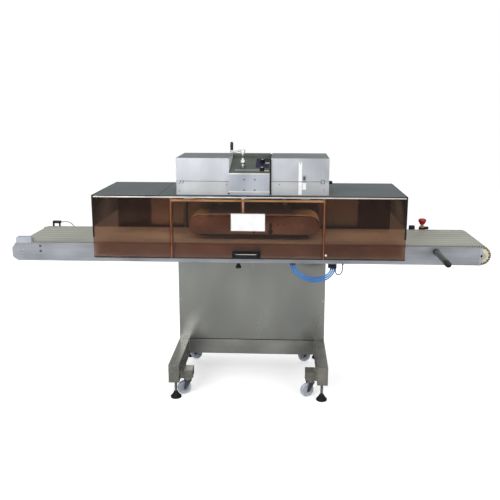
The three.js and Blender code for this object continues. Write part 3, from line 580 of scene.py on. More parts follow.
# How far along a hose each of its points is, and how far down, as shares of its span and its sag.
HOSE_DROP = [
    (0, 0), (0, 0.13), (0.015, 0.28), (0.045, 0.45), (0.1, 0.62), (0.18, 0.78), (0.28, 0.9), (0.4, 0.975),
    (0.52, 1), (0.64, 0.965), (0.75, 0.87), (0.84, 0.74), (0.91, 0.58), (0.955, 0.42), (0.985, 0.26),
    (1, 0.12), (1, 0),
]
# Each hose's node, the X of its two ends, and its sag.
HOSES = [("air_hose_1", 236, 490, 97), ("air_hose_2", 247, 479, 85.5), ("air_hose_3", 258, 468, 74)]
HOSE_Y = 100
HOSE_START, HOSE_END = 769.4, 744.4
HOSE_RADIUS = 4.5
CABLE_RADIUS = 3


def between(a, b, start, end, t):
    return a.lerp(b, (t - start) / (end - start))


def smooth_route(points, steps=6):
    """A centripetal Catmull-Rom curve through the points, as the cord's solid follows."""
    known = [at(*point) for point in points]
    ends = [2 * known[0] - known[1], *known, 2 * known[-1] - known[-2]]
    route = [known[0]]
    for before, start, end, after in zip(ends, ends[1:], ends[2:], ends[3:]):
        knots = [0.0]
        for a, b in ((before, start), (start, end), (end, after)):
            knots.append(knots[-1] + max((b - a).length, 1e-6) ** 0.5)
        k0, k1, k2, k3 = knots
        for step in range(1, steps + 1):
            t = k1 + (k2 - k1) * step / steps
            one, two = between(before, start, k0, k1, t), between(start, end, k1, k2, t)
            three = between(end, after, k2, k3, t)
            near, far = between(one, two, k0, k2, t), between(two, three, k1, k3, t)
            route.append(between(near, far, k1, k2, t))
    return route


def cord(node, points, radius, look):
    """A round cord along its route, as a curve of one open spline, standing in for the designed solid."""
    route = smooth_route(points)
    data = bpy.data.curves.new(node + "_run", "CURVE")
    data.dimensions = "3D"
    data.bevel_depth = radius * MM
    data.bevel_resolution = 6
    data.use_fill_caps = True
    spline = data.splines.new("POLY")
    spline.points.add(len(route) - 1)
    for point, place in zip(spline.points, route):
        point.co = (*place, 1)
    spline.use_smooth = True
    data.materials.append(FINISH[look])
    made = bpy.data.objects.new(node + "_run", data)
    bpy.context.scene.collection.objects.link(made)
    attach(made, "frame")
    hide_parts(node)


def cords():
    for node, start, end, sag in HOSES:
        points = [(start + (end - start) * along, HOSE_Y,
                   HOSE_START + (HOSE_END - HOSE_START) * along - sag * drop) for along, drop in HOSE_DROP]
        cord(node, points, HOSE_RADIUS, "hose")
    cord("loop_cable", LOOP_CABLE, CABLE_RADIUS, "dark_cable")
    cord("sensor_cable", SENSOR_CABLE, CABLE_RADIUS, "cable")


def hose_fittings():
    """Push-in collars with their release rings, and the block that the hoses run to."""
    collars, rings = bmesh.new(), bmesh.new()
    for _, start, end, _ in HOSES:
        for x, top in ((start, HOSE_START), (end, HOSE_END)):
            bar(collars, (x, HOSE_Y, top + 0.2), (x, HOSE_Y, top - 9), HOSE_RADIUS + 0.9, 20, 0.6)
            bar(rings, (x, HOSE_Y, top - 9.2), (x, HOSE_Y, top - 11.4), HOSE_RADIUS + 0.6, 20, 0.5)
    block(collars, (451.6, 500.4), (HOSE_Y - 16.4, HOSE_Y + 16.4), (HOSE_END + 0.2, HOSE_START), 2)
    for (x, y, z), down in ((LOOP_CABLE[0], 9.2), (LOOP_CABLE[-1], 9.4)):
        bar(collars, (x, y, z + 0.2), (x, y, z - down), CABLE_RADIUS + 2, 16, 0.6)
    piece("hose_collars", collars, "navy")
    piece("hose_release_rings", rings, "hose")


# ---------------------------------------------------------------- screws
def screw_heads(name, places, look="dark_steel", body="frame", radius=4.5, direction=(0, -1, 0)):
    """Button heads with a small recess, on a face that looks along the direction."""
    bm = bmesh.new()
    for x, y, z in places:
        lathe(bm, [(0, -0.8), (radius, -0.8), (radius, 0.9), (radius * 0.82, radius * 0.42),
                   (radius * 0.5, radius * 0.52), (radius * 0.45, 0.5), (0, 0.4)],
              facing(x, y, z, direction), 12)
    return piece(name, bm, look, body)


# ---------------------------------------------------------------- conveyor
# Screws of the front plate: in from its infeed or outfeed end, and up from its foot.
INFEED_SCREWS = [(25, 91), (66, 92), (76, 74), (109, 82), (232, 50), (19, 16), (67, 22)]
ADJUSTER_SCREWS = [(164, 85), (165, 56)]
OUTFEED_SCREWS = [(138, 83), (73, 97), (3, 98), (74, 6)]
UNDER_TUNNEL_SCREWS = (-640, -235, -20, 36, 300, 560, 760)
PLATE_FOOT = 791

ROW_LENGTH = 0.0127
RUN = (OUTFEED_AXLE - INFEED_AXLE) * MM
LINK_RADIUS = (TURN_RADIUS - BELT_THICKNESS / 2) * MM
BELT_LOOP = 2 * RUN + 2 * math.pi * LINK_RADIUS
BELT_ROWS = round(BELT_LOOP / ROW_LENGTH)
BELT_PITCH = BELT_LOOP / BELT_ROWS
BELT_GROOVE = 0.0028
BELT_TAB = 0.011
CORE_THICKNESS = 0.0066


def belt_row():
    """One row of belt modules: eight links on a thin core, with a hinge tab left free at each side."""
    bm = bmesh.new()
    half, top = BELT_WIDTH / 2, BELT_THICKNESS * MM / 2
    core = Matrix.Diagonal((BELT_PITCH * 0.52, BELT_WIDTH, CORE_THICKNESS, 1))
    bmesh.ops.create_cube(bm, size=1, matrix=core)
    link = 2 * (half - BELT_TAB) / BELT_TRACKS
    shape = Matrix.Diagonal((BELT_PITCH * 0.93, link - BELT_GROOVE, 2 * top, 1))
    for track in range(BELT_TRACKS):
        middle = -half + BELT_TAB + link * (track + 0.5)
        made = bmesh.ops.create_cube(bm, size=1, matrix=Matrix.Translation((0, middle, 0)) @ shape)
        upper = [vert for vert in made["verts"] if vert.co.z > top - 1e-6]
        soften(bm, [edge for edge in edges_of(upper) if set(edge.verts) <= set(upper)], 0.8, 1)
    return bm


def gap_shade_plugs():
    """A dark block at each side, in the space between two rows' hinge tabs: painted shade in the gap."""
    bm = bmesh.new()
    shape = Matrix.Diagonal((BELT_PITCH * 0.4, 0.0085, 0.0062, 1))
    for side in (-1, 1):
        place = Matrix.Translation((BELT_PITCH / 2, side * (BELT_WIDTH / 2 - 0.006), 0))
        bmesh.ops.create_cube(bm, size=1, matrix=place @ shape)
    return bm


def along_belt(distance):
    """Where a row sits, and its tilt, at a distance along the belt's loop from the infeed's top."""
    turn = math.pi * LINK_RADIUS
    if distance < RUN:
        x, z, tilt = distance, LINK_RADIUS, 0
    elif distance < RUN + turn:
        tilt = (distance - RUN) / LINK_RADIUS
        x, z = RUN + LINK_RADIUS * math.sin(tilt), LINK_RADIUS * math.cos(tilt)
    elif distance < 2 * RUN + turn:
        x, z, tilt = 2 * RUN + turn - distance, -LINK_RADIUS, math.pi
    else:
        tilt = math.pi + (distance - 2 * RUN - turn) / LINK_RADIUS
        x, z = LINK_RADIUS * math.sin(tilt), LINK_RADIUS * math.cos(tilt)
    start = at(INFEED_AXLE, sum(BELT_SIDES) / 2, AXLE_HEIGHT)
    return Matrix.Translation(start + Vector((x, 0, z))) @ Matrix.Rotation(tilt, 4, "Y")


def round_the_belt(name, row, look, **options):
    """Repeats one row's shape along the whole loop."""
    pattern = bpy.data.meshes.new("belt_row")
    row.to_mesh(pattern)
    row.free()
    bm = bmesh.new()
    for count in range(BELT_ROWS):
        start = len(bm.verts)
        bm.from_mesh(pattern)
        bm.verts.ensure_lookup_table()
        bmesh.ops.transform(bm, matrix=along_belt((count + 0.5) * BELT_PITCH), verts=bm.verts[start:])
    piece(name, bm, look, weighted=False, **options)
    bpy.data.meshes.remove(pattern)


def belt():
    round_the_belt("modular_belt", belt_row(), "belting", replaces=("conveyor_belt",))
    # The dark blocks between the hinge tabs are painted shade in the gaps.
    round_the_belt("belt_gap_shade_plugs", gap_shade_plugs(), "rubber")


def sprocket(bm, x, y0, y1, teeth=14):
    """A moulded sprocket with square teeth and a hub at each side."""
    outer, root = 45.6, 41
    place = facing(x, (y0 + y1) / 2, AXLE_HEIGHT, (0, 1, 0))
    made = bmesh.ops.create_cone(bm, cap_ends=True, segments=teeth * 4, radius1=outer * MM,
                                 radius2=outer * MM, depth=(y1 - y0) * MM, matrix=place)
    centre = at(x, 0, AXLE_HEIGHT)
    for vert in made["verts"]:
        off = Vector((vert.co.x - centre.x, 0, vert.co.z - centre.z))
        count = round(math.atan2(off.z, off.x) / (2 * math.pi) * teeth * 4) % 4
        if count in (2, 3):
            vert.co.x = centre.x + off.x * root / outer
            vert.co.z = centre.z + off.z * root / outer
    soften(bm, rim_edges(made["verts"]), 0.8, 1)
    for side, face in ((-1, y0), (1, y1)):
        bar(bm, (x, face - side * 0.5, AXLE_HEIGHT), (x, face + side * 2.2, AXLE_HEIGHT), 17, 24, 0.8)


SPROCKET_WIDTH = 25


def belt_shaft(node, x, tail):
    """Three sprockets on a shaft, which runs past the rear plate by its tail."""
    cogs, steel = bmesh.new(), bmesh.new()
    first, last = BELT_SIDES[0] + 3, BELT_SIDES[1] - 3
    step = (last - first - SPROCKET_WIDTH) / 2
    for count in range(3):
        y = first + step * count
        sprocket(cogs, x, y, y + SPROCKET_WIDTH)
    bar(steel, (x, first, AXLE_HEIGHT), (x, last, AXLE_HEIGHT), 14, 20, 1)
    bar(steel, (x, 1, AXLE_HEIGHT), (x, 500 + tail, AXLE_HEIGHT), 8, 24, 0.8)
    piece(node + "_sprockets", cogs, "cog", node, (node,))
    piece(node + "_axle", steel, "bright_steel", node, (node,))


def plate_details():
    """Screws of both side plates, outfeed bearing plates, black strips of painted shade under the belt's
    edges, and a shaft cap.
    """
    front = [(PLATE_LEFT + x, 0, PLATE_FOOT + z) for x, z in INFEED_SCREWS]
    front += [(PLATE_RIGHT - x, 0, PLATE_FOOT + z) for x, z in OUTFEED_SCREWS]
    front += [(x, 0, PLATE_FOOT + 14) for x in UNDER_TUNNEL_SCREWS]
    screw_heads("plate_screws", front, "side_plate")
    adjusters = [(PLATE_LEFT + x, 0, PLATE_FOOT + z) for x, z in ADJUSTER_SCREWS]
    screw_heads("roller_adjuster_screws", adjusters, radius=7)
    back = [(x, 500, z) for x in (-1250, -900, -500, -100, 300, 700) for z in (812, 876)]
    screw_heads("rear_plate_screws", back, direction=(0, 1, 0))
    bearings = bmesh.new()
    x = OUTFEED_AXLE + 4
    for y in ((-1.6, 0.2), (499.8, 501.6)):
        block(bearings, (PLATE_RIGHT - 11, PLATE_RIGHT - 1), y, (PLATE_FOOT + 3, PLATE_FOOT + 99), 0.5)
        bar(bearings, (x, y[0], AXLE_HEIGHT), (x, y[1], AXLE_HEIGHT), 12, 24, 0.4)
    piece("outfeed_bearing_plates", bearings, "cover")
    length = (PLATE_LEFT + 34, PLATE_RIGHT - 4)
    # Black strips just under the belt's edges: painted shade below the belt.
    blocks("belt_edge_shade_strips", "black", [(length, (y, y + 3.4), (885.5, 891.5), 0.6) for y in (5.2, 491.4)])
    cap = bmesh.new()
    bar(cap, (OUTFEED_AXLE, -2.2, AXLE_HEIGHT), (OUTFEED_AXLE, 0.9, AXLE_HEIGHT), 6.5, 20, 0.6)
    piece("axle_end_caps", cap, "black")


def slider_bed():
    """The slider strips and their cross members show as the designed solid itself, in a steel finish."""
    shown = frame["nodes"]["slider_bed"]
    shown.data.materials.clear()
    shown.data.materials.append(FINISH["crossbeam"])


HANDLING_BAR = (1042, -0.4, 867)
HANDLING_REACH = 306


def handling_bar():
    """A tube with a black ring at its foot, painted shade where it meets the plate, and a ribbed cap, standing
    out from the front plate.
    """
    steel, dark, cap = bmesh.new(), bmesh.new(), bmesh.new()
    foot = facing(*HANDLING_BAR, (0, -1, 0))
    tip = foot @ Matrix.Translation((0, 0, (HANDLING_REACH - 46.8) * MM))
    lathe(steel, [(0, 0), (18, 0), (18, 8), (16.8, 9), (16, 12), (16, HANDLING_REACH - 46),
                  (0, HANDLING_REACH - 46)], foot, 32)
    # The black ring at the foot is painted shade, where the bar meets the plate.
    lathe(dark, [(0, 0), (18.2, 0), (18.4, 1.5), (18.4, 22), (17.6, 24), (0, 24)], foot, 32)
    lathe(cap, [(0, 0), (16.4, 0), (17.2, 2), (16.4, 6), (17, 12), (16.2, 18), (17, 24), (16.2, 30),
                (16.8, 36), (15, 43), (9, 45.4), (0, 46)], tip, 32)
    piece("handling_bar_tube", steel, "gunmetal", replaces=("handling_bar",))
    piece("handling_bar_foot_shade_ring", dark, "black")
    piece("handling_bar_cap", cap, "black")


MOTOR_FINS = 20


def gearmotor():
    """Gearbox, finned motor with its fan cover, and a terminal box."""
    x, z = OUTFEED_AXLE, AXLE_HEIGHT
    y = (500.3, 562)
    case, motor = bmesh.new(), bmesh.new()
    block(case, (x - 53, x + 50), y, (z - 55, z + 30), 6, 3)
    bar(case, (x, y[1] - 1, z), (x, y[1] + 3, z), 24, 32, 1.2)
    block(case, (x - 190, x - 110), (y[0] + 12, y[0] + 70), (z - 75, z - 44), 4, 3)
    block(case, (x - 192, x - 108), (y[0] + 10, y[0] + 72), (z - 72, z - 69), 1)
    piece("gearbox_case", case, "dark_steel", replaces=("gearmotor",))
    centre = (y[0] + 41, z - 14)
    bar(motor, (x - 200, *centre), (x - 52, *centre), 34, 40, 1.5)
    bar(motor, (x - 62, *centre), (x - 52.5, *centre), 40, 40, 1.5)
    bar(motor, (x - 240, *centre), (x - 198, *centre), 40, 40, 4)
    fin = Matrix.Translation((0, 0, 0.0365)) @ Matrix.Diagonal((0.132, 0.0022, 0.0065, 1))
    for count in range(MOTOR_FINS):
        turn = Matrix.Rotation(2 * math.pi * count / MOTOR_FINS, 4, "X")
        bmesh.ops.create_cube(motor, size=1, matrix=Matrix.Translation(at(x - 130, *centre)) @ turn @ fin)
    for radius in (9, 17, 25, 33):
        lathe(motor, [(radius, 0), (radius + 3, 0), (radius + 3, 1.4), (radius, 1.4), (radius, 0)],
              facing(x - 240, *centre, (-1, 0, 0)), 32)
    piece("finned_motor", motor, "side_plate")
    corners = ((-43, -45), (40, -45), (-43, 20), (40, 20))
    screw_heads("gearbox_bolts", [(x + dx, y[1], z + dz) for dx, dz in corners], "bright_steel",
                direction=(0, 1, 0))


def conveyor():
    """The side plates and what runs between them, sits on them or hangs from them."""
    eased("conveyor_front_plate", "side_plate", 0.8)
    eased("conveyor_rear_plate", "side_plate", 0.8)
    eased("belt_end_cover", "cover", 1.5)
    slider_bed()
    belt()
    belt_shaft("drive_shaft", OUTFEED_AXLE, 45)
    belt_shaft("infeed_shaft", INFEED_AXLE, 0)
    plate_details()
    handling_bar()
    gearmotor()
    screw_heads("end_cover_screws", [(-1322, 0, 900), (-1262, 0, 900)], "bright_steel", radius=3.5)


# ---------------------------------------------------------------- stand
CASTER_TUBES = (-20, 520)
CASTER_TUBE_END = 392


def stand():
    """The legs and their crossframe, with plates over the legs' ends, plugs in the caster tubes, and welds."""
    eased("left_leg", "stand", 1.4)
    eased("right_leg", "stand", 1.4)
    eased("base_crossframe", "crossbeam", 1.4)
    welds, plates, plugs = bmesh.new(), bmesh.new(), bmesh.new()
    for side in (-1, 1):
        inner = side * CASTER_TUBE_END
        for middle in CASTER_TUBES:
            for end in (-1, 1):
                y = sorted((middle + end * 40.5, middle + end * 38))
                block(plugs, sorted((side * 330.4, inner - side * 0.4)), y, (113.4, 156.6), 0.5)
        for y in (300, 350, 570, 620):
            bar(welds, (inner - side, y, 132), (inner - side, y, 222), 1.8, 8)
        for end in (0, 1):
            y = LEG_Y[end] + (0.2 if end == 0 else -0.2)
            out = (y - 1.6, y) if end == 0 else (y, y + 1.6)
            x = sorted((side * 397, side * 447))
            block(plates, x, out, (123, 220), 0.7)
        for middle in CASTER_TUBES:
            for y in (middle - 42.5, middle + 42.5):
                bar(welds, (inner, y, 113), (inner, y, 159), 1.6, 8)
    piece("weld_beads", welds, "bright_steel")
    piece("leg_end_plates", plates, "stand")
    piece("caster_tube_plugs", plugs, "stand")


# Each caster's corner, its side, its Y, and how far it is swivelled in degrees.
CASTERS = [("front_left", -1, -20, 200), ("front_right", 1, -20, 205), ("rear_left", -1, 520, 165),
           ("rear_right", 1, 520, 190)]
CASTER_X = 359
CASTER_TRAIL = 22
WHEEL_CENTRE, WHEEL_RADIUS, WHEEL_HALF = 42.5, 40, 15


def caster(corner, side, y, swivel):
    """A swivel caster's yoke, race, tyre and hub, made at the origin and then turned and placed."""
    turn = upright(side * CASTER_X, y, 0, math.radians(swivel))
    back_home = turn @ Matrix.Translation(-at(0, 0, 0))
    fork, race = bmesh.new(), bmesh.new()
    for cheek in (-1, 1):
        y0, y1 = sorted((cheek * (WHEEL_HALF + 2), cheek * (WHEEL_HALF + 5)))
        outline = [(CASTER_TRAIL - 8, WHEEL_CENTRE - 3), (CASTER_TRAIL - 5, WHEEL_CENTRE - 8),
                   (CASTER_TRAIL + 5, WHEEL_CENTRE - 8), (CASTER_TRAIL + 8, WHEEL_CENTRE - 3),
                   (20, 84), (18, 90), (-16, 90), (-18, 85)]
        plate(fork, [(x, y0, z) for x, z in outline], (0, y1 - y0, 0), 0.8)
        bar(fork, (CASTER_TRAIL, cheek * (WHEEL_HALF + 1), WHEEL_CENTRE),
            (CASTER_TRAIL, cheek * (WHEEL_HALF + 8.5), WHEEL_CENTRE), 6.5, 6, 0.8)
    block(fork, (-20, 20), (-20, 20), (86.5, 90), 1)
    block(fork, (-29, 29), (-25, 25), (106.7, 109.6), 1)
    lathe(race, [(0, 88), (19, 88), (22, 90.5), (22, 93), (18, 95), (18, 98), (21, 100), (21, 103),
                 (17, 106.9), (0, 106.9)], Matrix.Translation(at(0, 0, 0)), 32)
    for dx in (-22, 22):
        for dy in (-18, 18):
            bar(race, (dx, dy, 103.2), (dx, dy, 106.9), 4.6, 6, 0.6)
    bar(fork, (CASTER_TRAIL, -17, WHEEL_CENTRE), (CASTER_TRAIL, 17, WHEEL_CENTRE), 4, 12)
    tyre, hub = bmesh.new(), bmesh.new()
    axle = facing(CASTER_TRAIL, 0, WHEEL_CENTRE, (0, 1, 0))
    half, radius = WHEEL_HALF, WHEEL_RADIUS
    lathe(tyre, [(27, -half + 3.5), (radius - 5, -half + 2.6), (radius - 1.6, -half + 5),
                 (radius, -half + 9), (radius, half - 9), (radius - 1.6, half - 5), (radius - 5, half - 2.6),
                 (27, half - 3.5), (27, -half + 3.5)], axle, 48)
    lathe(hub, [(5, -half), (13, -half), (14, -half + 2), (15, -half + 5), (25, -half + 6.5),
                (26.8, -half + 4), (26.8, half - 4), (25, half - 6.5), (15, half - 5), (14, half - 2),
                (13, half), (5, half), (5, -half)], axle, 40)
    node = f"{corner}_caster"
    for name, bm, look, body, stood_for in (
            (node + "_yoke", fork, "dark_steel", node, node + "_fork"),
            (node + "_race", race, "bright_steel", node, node + "_fork"),
            (corner + "_tyre", tyre, "tyre", corner + "_wheel", node + "_wheel"),
            (corner + "_hub", hub, "cover", corner + "_wheel", node + "_wheel")):
        bmesh.ops.transform(bm, matrix=back_home, verts=bm.verts)
        piece(name, bm, look, body, (stood_for,))


FOOT_Y = (-77, 577)
FOOT_X = 422


def levelling_foot(corner, side, y):
    """A rubber pad on a threaded stem with a lock nut."""
    pad, stem = bmesh.new(), bmesh.new()
    place = upright(side * FOOT_X, y)
    lathe(pad, [(0, 0), (29, 0), (31, 1.6), (31, 9), (29, 12), (20, 22), (14.5, 31), (13, 36), (11, 39),
                (0, 39)], place, 40)
    thread = [(8 if count % 2 else 7.2, 46 + count * 1.6) for count in range(44)]
    lathe(stem, [(0, 38.5), (9.5, 38.5), (9.5, 40), (7.4, 42), *thread, (0, 118)], place, 20)
    bar(stem, (side * FOOT_X, y, 103.6), (side * FOOT_X, y, 115), 15, 6, 1.2)
    body = corner + "_foot"
    piece(corner + "_foot_pad", pad, "rubber", body, (corner + "_levelling_foot",))
    piece(corner + "_foot_stem", stem, "gunmetal", body, (corner + "_levelling_foot",))


# ---------------------------------------------------------------- cabinet
BED_KNOB = (-70, 140)
ARM_UNDERSIDE = (785.7, 735.7)
ARM_ENDS = (8, 300)


def cabinet():
    """The cabinet's shell and front, the knob under one of its arms, a dark line of painted shade at its foot,
    and the louvred panel at the back, its louvres drawn as dark strips of painted shade.
    """
    eased("cabinet_shell", "cabinet", 1)
    eased("cabinet_front_panel", "cabinet", 0.6)
    grip = bmesh.new()
    back = (BED_KNOB[1] - ARM_ENDS[0]) / (ARM_ENDS[1] - ARM_ENDS[0])
    top = ARM_UNDERSIDE[0] + (ARM_UNDERSIDE[1] - ARM_UNDERSIDE[0]) * back
    lathe(grip, [(0, top - 38), (13, top - 38), (16.4, top - 36), (17, top - 31), (16.4, top - 27.5),
                 (13, top - 21), (10, top - 17), (9, top - 13), (9, top - 4.4), (5, top - 4.2),
                 (5, top + 4), (0, top + 4)], upright(*BED_KNOB), 32)
    piece("bed_knob_grip", grip, "black", "bed_knob", ("bed_knob",))
    # A dark strip along the cabinet's foot: painted shade in the gap above the crossbeam.
    blocks("cabinet_foot_shade_line", "rubber", [((-388, 388), (299.2, 301), (222.6, 227.4), 0.4)])
    blocks("rear_service_panel", "cabinet", [((-380, 380), (619.6, 621.6), (270, 740), 0.8)])
    # The louvres are dark strips on the panel: painted shade standing for their openings.
    blocks("rear_louvre_shade_strips", "dark_steel", [(x, (621, 624), (z, z + 5), 1.4)
                                          for z in range(330, 450, 16) for x in ((-260, -60), (60, 260))])
    screws = [(x, 621.6, z) for x in (-368, -120, 120, 368) for z in (282, 728)]
    screw_heads("rear_panel_screws", screws, "bright_steel", direction=(0, 1, 0))
    front = [(x, 300, z) for x in (-438, 438) for z in (250, 480, 710)] + [(8, 300, 700)]
    screw_heads("front_panel_screws", front, "bright_steel", radius=2.6)


# ---------------------------------------------------------------- tunnel
TOP_SEAL = (1173, 1177.5)


def hinge(bm, middle, y, z, half, radius):
    """Three knuckles in a row along X."""
    third = 2 * half / 3
    for count in range(3):
        start = middle - half + third * count
        bar(bm, (start + 0.4, y, z), (start + third - 0.4, y, z), radius, 14, 0.4)


def tunnel():
    eased("tunnel_top", "tunnel_top", 0.8)
    eased("back_plate", "cabinet", 0.5)
    for node in ("left_guard_panel", "right_guard_panel", "guard_door"):
        eased(node, "tint", 0.8)
    eased("rear_guard_panel", "rear_tint", 0.8)
    eased("door_handle", "black", 3.5, 3)
    tunnel_seals()
    door_fittings()
    post_fittings()


def tunnel_seals():
    """The bright trim under the top's front edge, and dark seals round the top, the ends and the panels."""
    x, y, z = TUNNEL["x"], TUNNEL["y"], TUNNEL["z"]
    trim = ((x[0] + 2, x[1] - 2), (y[0] - 1.6, y[0] + 0.2), (1165.4, 1172.6), 0.5)
    blocks("tunnel_front_trim", "trim", [trim])
    rubber = bmesh.new()
    block(rubber, (x[0] - 1.5, x[1] + 1.5), (y[0] - 2.6, y[0] + 3), TOP_SEAL, 1)
    for end, out in ((x[0], -1), (x[1], 1)):
        sides = sorted((end + out * 1.6, end - out * 1.2))
        block(rubber, sides, (y[0] + 3.2, y[1] - 3), TOP_SEAL, 1)
        block(rubber, sorted((end + out * 1.6, end - out * 8)), (y[0] - 2, y[0] - 0.2), (940, 1172.6), 0.9)
        block(rubber, sides, (y[0] - 0.4, y[0] + 4.4), (1000, 1172.6), 0.9)
    block(rubber, (x[0] - 1.5, x[1] + 1.5), (y[1] - 3, y[1] + 1.6), TOP_SEAL, 1)
    foot = ((y[0] - 1.2, y[0] + 5.2), (z[0] - 1.8, z[0] + 3.4), 0.9)
    for sides in ((x[0], POSTS[0] - 3.4), (POSTS[1] + 3.4, x[1])):
        block(rubber, sides, *foot)
    piece("tunnel_edge_seals", rubber, "rubber")
    blocks("door_edge_seal", "rubber", [((DOOR["x"][0] + 0.4, DOOR["x"][1] - 0.4), *foot)], "door")


def door_fittings():
    """The handle's base and a bright strip on its bow as a painted highlight, the blank plate in its rim, and
    the hinge.
    """
    face = TUNNEL["y"][0]
    blocks("door_handle_base", "black", [((-94, 66), (face - 4, face - 0.3), (826, 868), 1.5)], "door")
    # The bright strip along the bow's upper edge is a painted highlight.
    blocks("door_handle_highlight_strip", "trim", [((-72, 44), (face - 33.9, face - 30), (854, 857), 0.8)], "door")
    blocks("door_blank_plate", "white", [((-97, 88), (face - 3.4, face - 0.2), (984, 1078), 1.2)], "door")
    rim = (((-99, 90), (1077, 1080)), ((-99, 90), (982, 985)), ((-99.4, -96), (982, 1080)),
           ((87, 90.4), (982, 1080)))
    blocks("door_plate_rim", "trim", [(x, (face - 4.2, face - 0.2), z, 0.8) for x, z in rim], "door")
    knuckles = bmesh.new()
    for middle in (-330, -10, 310):
        hinge(knuckles, middle, face + 2, 1161.7, 26, 1.8)
    piece("door_hinge_knuckles", knuckles, "bright_steel")
    leaf = ((-431, 413), (face - 1.3, face - 0.1), (1145, 1156.5), 0.4)
    blocks("door_hinge_leaf", "amber", [leaf], "door")


def post_fittings():
    """The door's catches and the strips on the two posts, a fastener beside the door, and the top's seam."""
    heights = ((1128, 1150), (838, 862))
    catches = [((post - 9, post + 9), (-31, -14), z, 2) for post in POSTS for z in heights]
    blocks("post_catches", "trim", catches)
    faces = [((post - 8, post + 8), (-35.8, -35.2), (826, 1160), 0.2) for post in POSTS]
    blocks("post_face_strips", "amber", faces)
    front, back = TUNNEL["y"]
    dot = bmesh.new()
    lathe(dot, [(0, 0), (6, 0), (6, 1.5), (4, 3), (0, 3.6)], facing(429, front - 0.1, 848, (0, -1, 0)), 20)
    piece("panel_fastener", dot, "white")
    blocks("tunnel_top_seam", "rubber", [((-506.4, -503.6), (front + 4, back - 4), (1175.6, 1176.6), 0.3)])


# ---------------------------------------------------------------- sealing head
def loop_sheet(bm, radius, thickness, sides, steps=24):
    """A closed band round the two band axles: its section set round them step by step, and joined up."""
    ring = []
    for axle, start in ((BAND_AXLES[1], -math.pi / 2), (BAND_AXLES[0], math.pi / 2)):
        ring += [(axle, start + math.pi * count / steps) for count in range(steps + 1)]
    rows = []
    for axle, angle in ring:
        way = Vector((math.cos(angle), 0, math.sin(angle)))
        centre = at(axle, 0, BAND_HEIGHT)
        inner = radius - thickness
        corners = [(sides[0], radius), (sides[1], radius), (sides[1], inner), (sides[0], inner)]
        places = [centre + Vector((0, y * MM, 0)) + way * depth * MM for y, depth in corners]
        rows.append([bm.verts.new(place) for place in places])
    for row, after in zip(rows, rows[1:] + rows[:1]):
        for count in range(4):
            bm.faces.new((row[count], after[count], after[(count + 1) % 4], row[(count + 1) % 4]))


HEAD_ROLLERS = [
    ("band_drive_roller", BAND_AXLES[0], BAND_HEIGHT, 56.7, "dark_steel"),
    ("band_idler_roller", BAND_AXLES[1], BAND_HEIGHT, 56.7, "dark_steel"),
    ("pressure_roller", 22, 945.8, 20, "rubber"),
]


def sealing_head():
    """The frame, bars and columns, the band and its rollers, and the rail along the frame's lower edge."""
    eased("head_frame", "side_plate", 1.2)
    eased("heater_bar", "brass", 0.8)
    eased("cooling_bar", "box", 0.8)
    eased("guide_columns", "bright_steel", 0.6)
    band = bmesh.new()
    loop_sheet(band, BAND_RADIUS, BAND_THICKNESS, BAND_SIDES)
    piece("sealing_band_loop", band, "band", "head", ("sealing_band",))
    for node, x, z, radius, look in HEAD_ROLLERS:
        drum, pin = bmesh.new(), bmesh.new()
        axle = facing(x, 0, z, (0, 1, 0))
        lathe(drum, [(8.4, 134), (radius * 0.45, 134), (radius * 0.5, 138), (radius - 8, 138),
                     (radius - 5, 134.4), (radius - 1, 134), (radius, 135), (radius, 345), (radius - 1, 346),
                     (radius - 5, 345.6), (radius - 8, 342), (radius * 0.5, 342), (radius * 0.45, 346),
                     (8.4, 346), (8.4, 134)], axle, 48)
        lathe(pin, [(0, 120), (7, 120), (8, 121), (8, 359), (7, 360), (0, 360)], axle, 24)
        piece(node + "_drum", drum, look, node, (node,))
        piece(node + "_pin", pin, "bright_steel", node, (node,))
    bolts = [(x, 120, 990) for x in (-200, -160, 160, 200)] + [(x, 120, 982) for x in (-260, 300)]
    screw_heads("head_plate_bolts", bolts, "bright_steel", "head", 5)
    rail = bmesh.new()
    block(rail, (-290, 335), (113, 118.6), (925, 932), 1)
    bar(rail, (118, 104, 950), (118, 119, 950), 13, 28, 1.5)
    block(rail, (112, 124), (106, 118), (948, 1000), 1.5)
    piece("head_lower_rail", rail, "black", "head")


# ---------------------------------------------------------------- top housing
def on_panel(x, along, lift=0.0):
    """A placing matrix on the console's sloping panel, at a distance back from its front edge."""
    rise = (along - CONSOLE_FRONT) * math.tan(PANEL_TILT)
    return Matrix.Translation(at(x, along, PANEL_FOOT + rise)) @ Matrix.Rotation(PANEL_TILT, 4, "X") @ (
        Matrix.Translation((0, 0, lift * MM)))


def tile(bm, x, along, thickness, radius=0.5, lift=0.0):
    """A thin plate lying on the sloping panel."""
    middle = (along[0] + along[1]) / 2
    size = Vector((x[1] - x[0], (along[1] - along[0]) / math.cos(PANEL_TILT), thickness)) * MM
    place = on_panel((x[0] + x[1]) / 2, middle, lift + thickness / 2) @ Matrix.Diagonal(size.to_4d())
    made = bmesh.ops.create_cube(bm, size=1, matrix=place)
    if radius:
        soften(bm, edges_of(made["verts"]), radius)


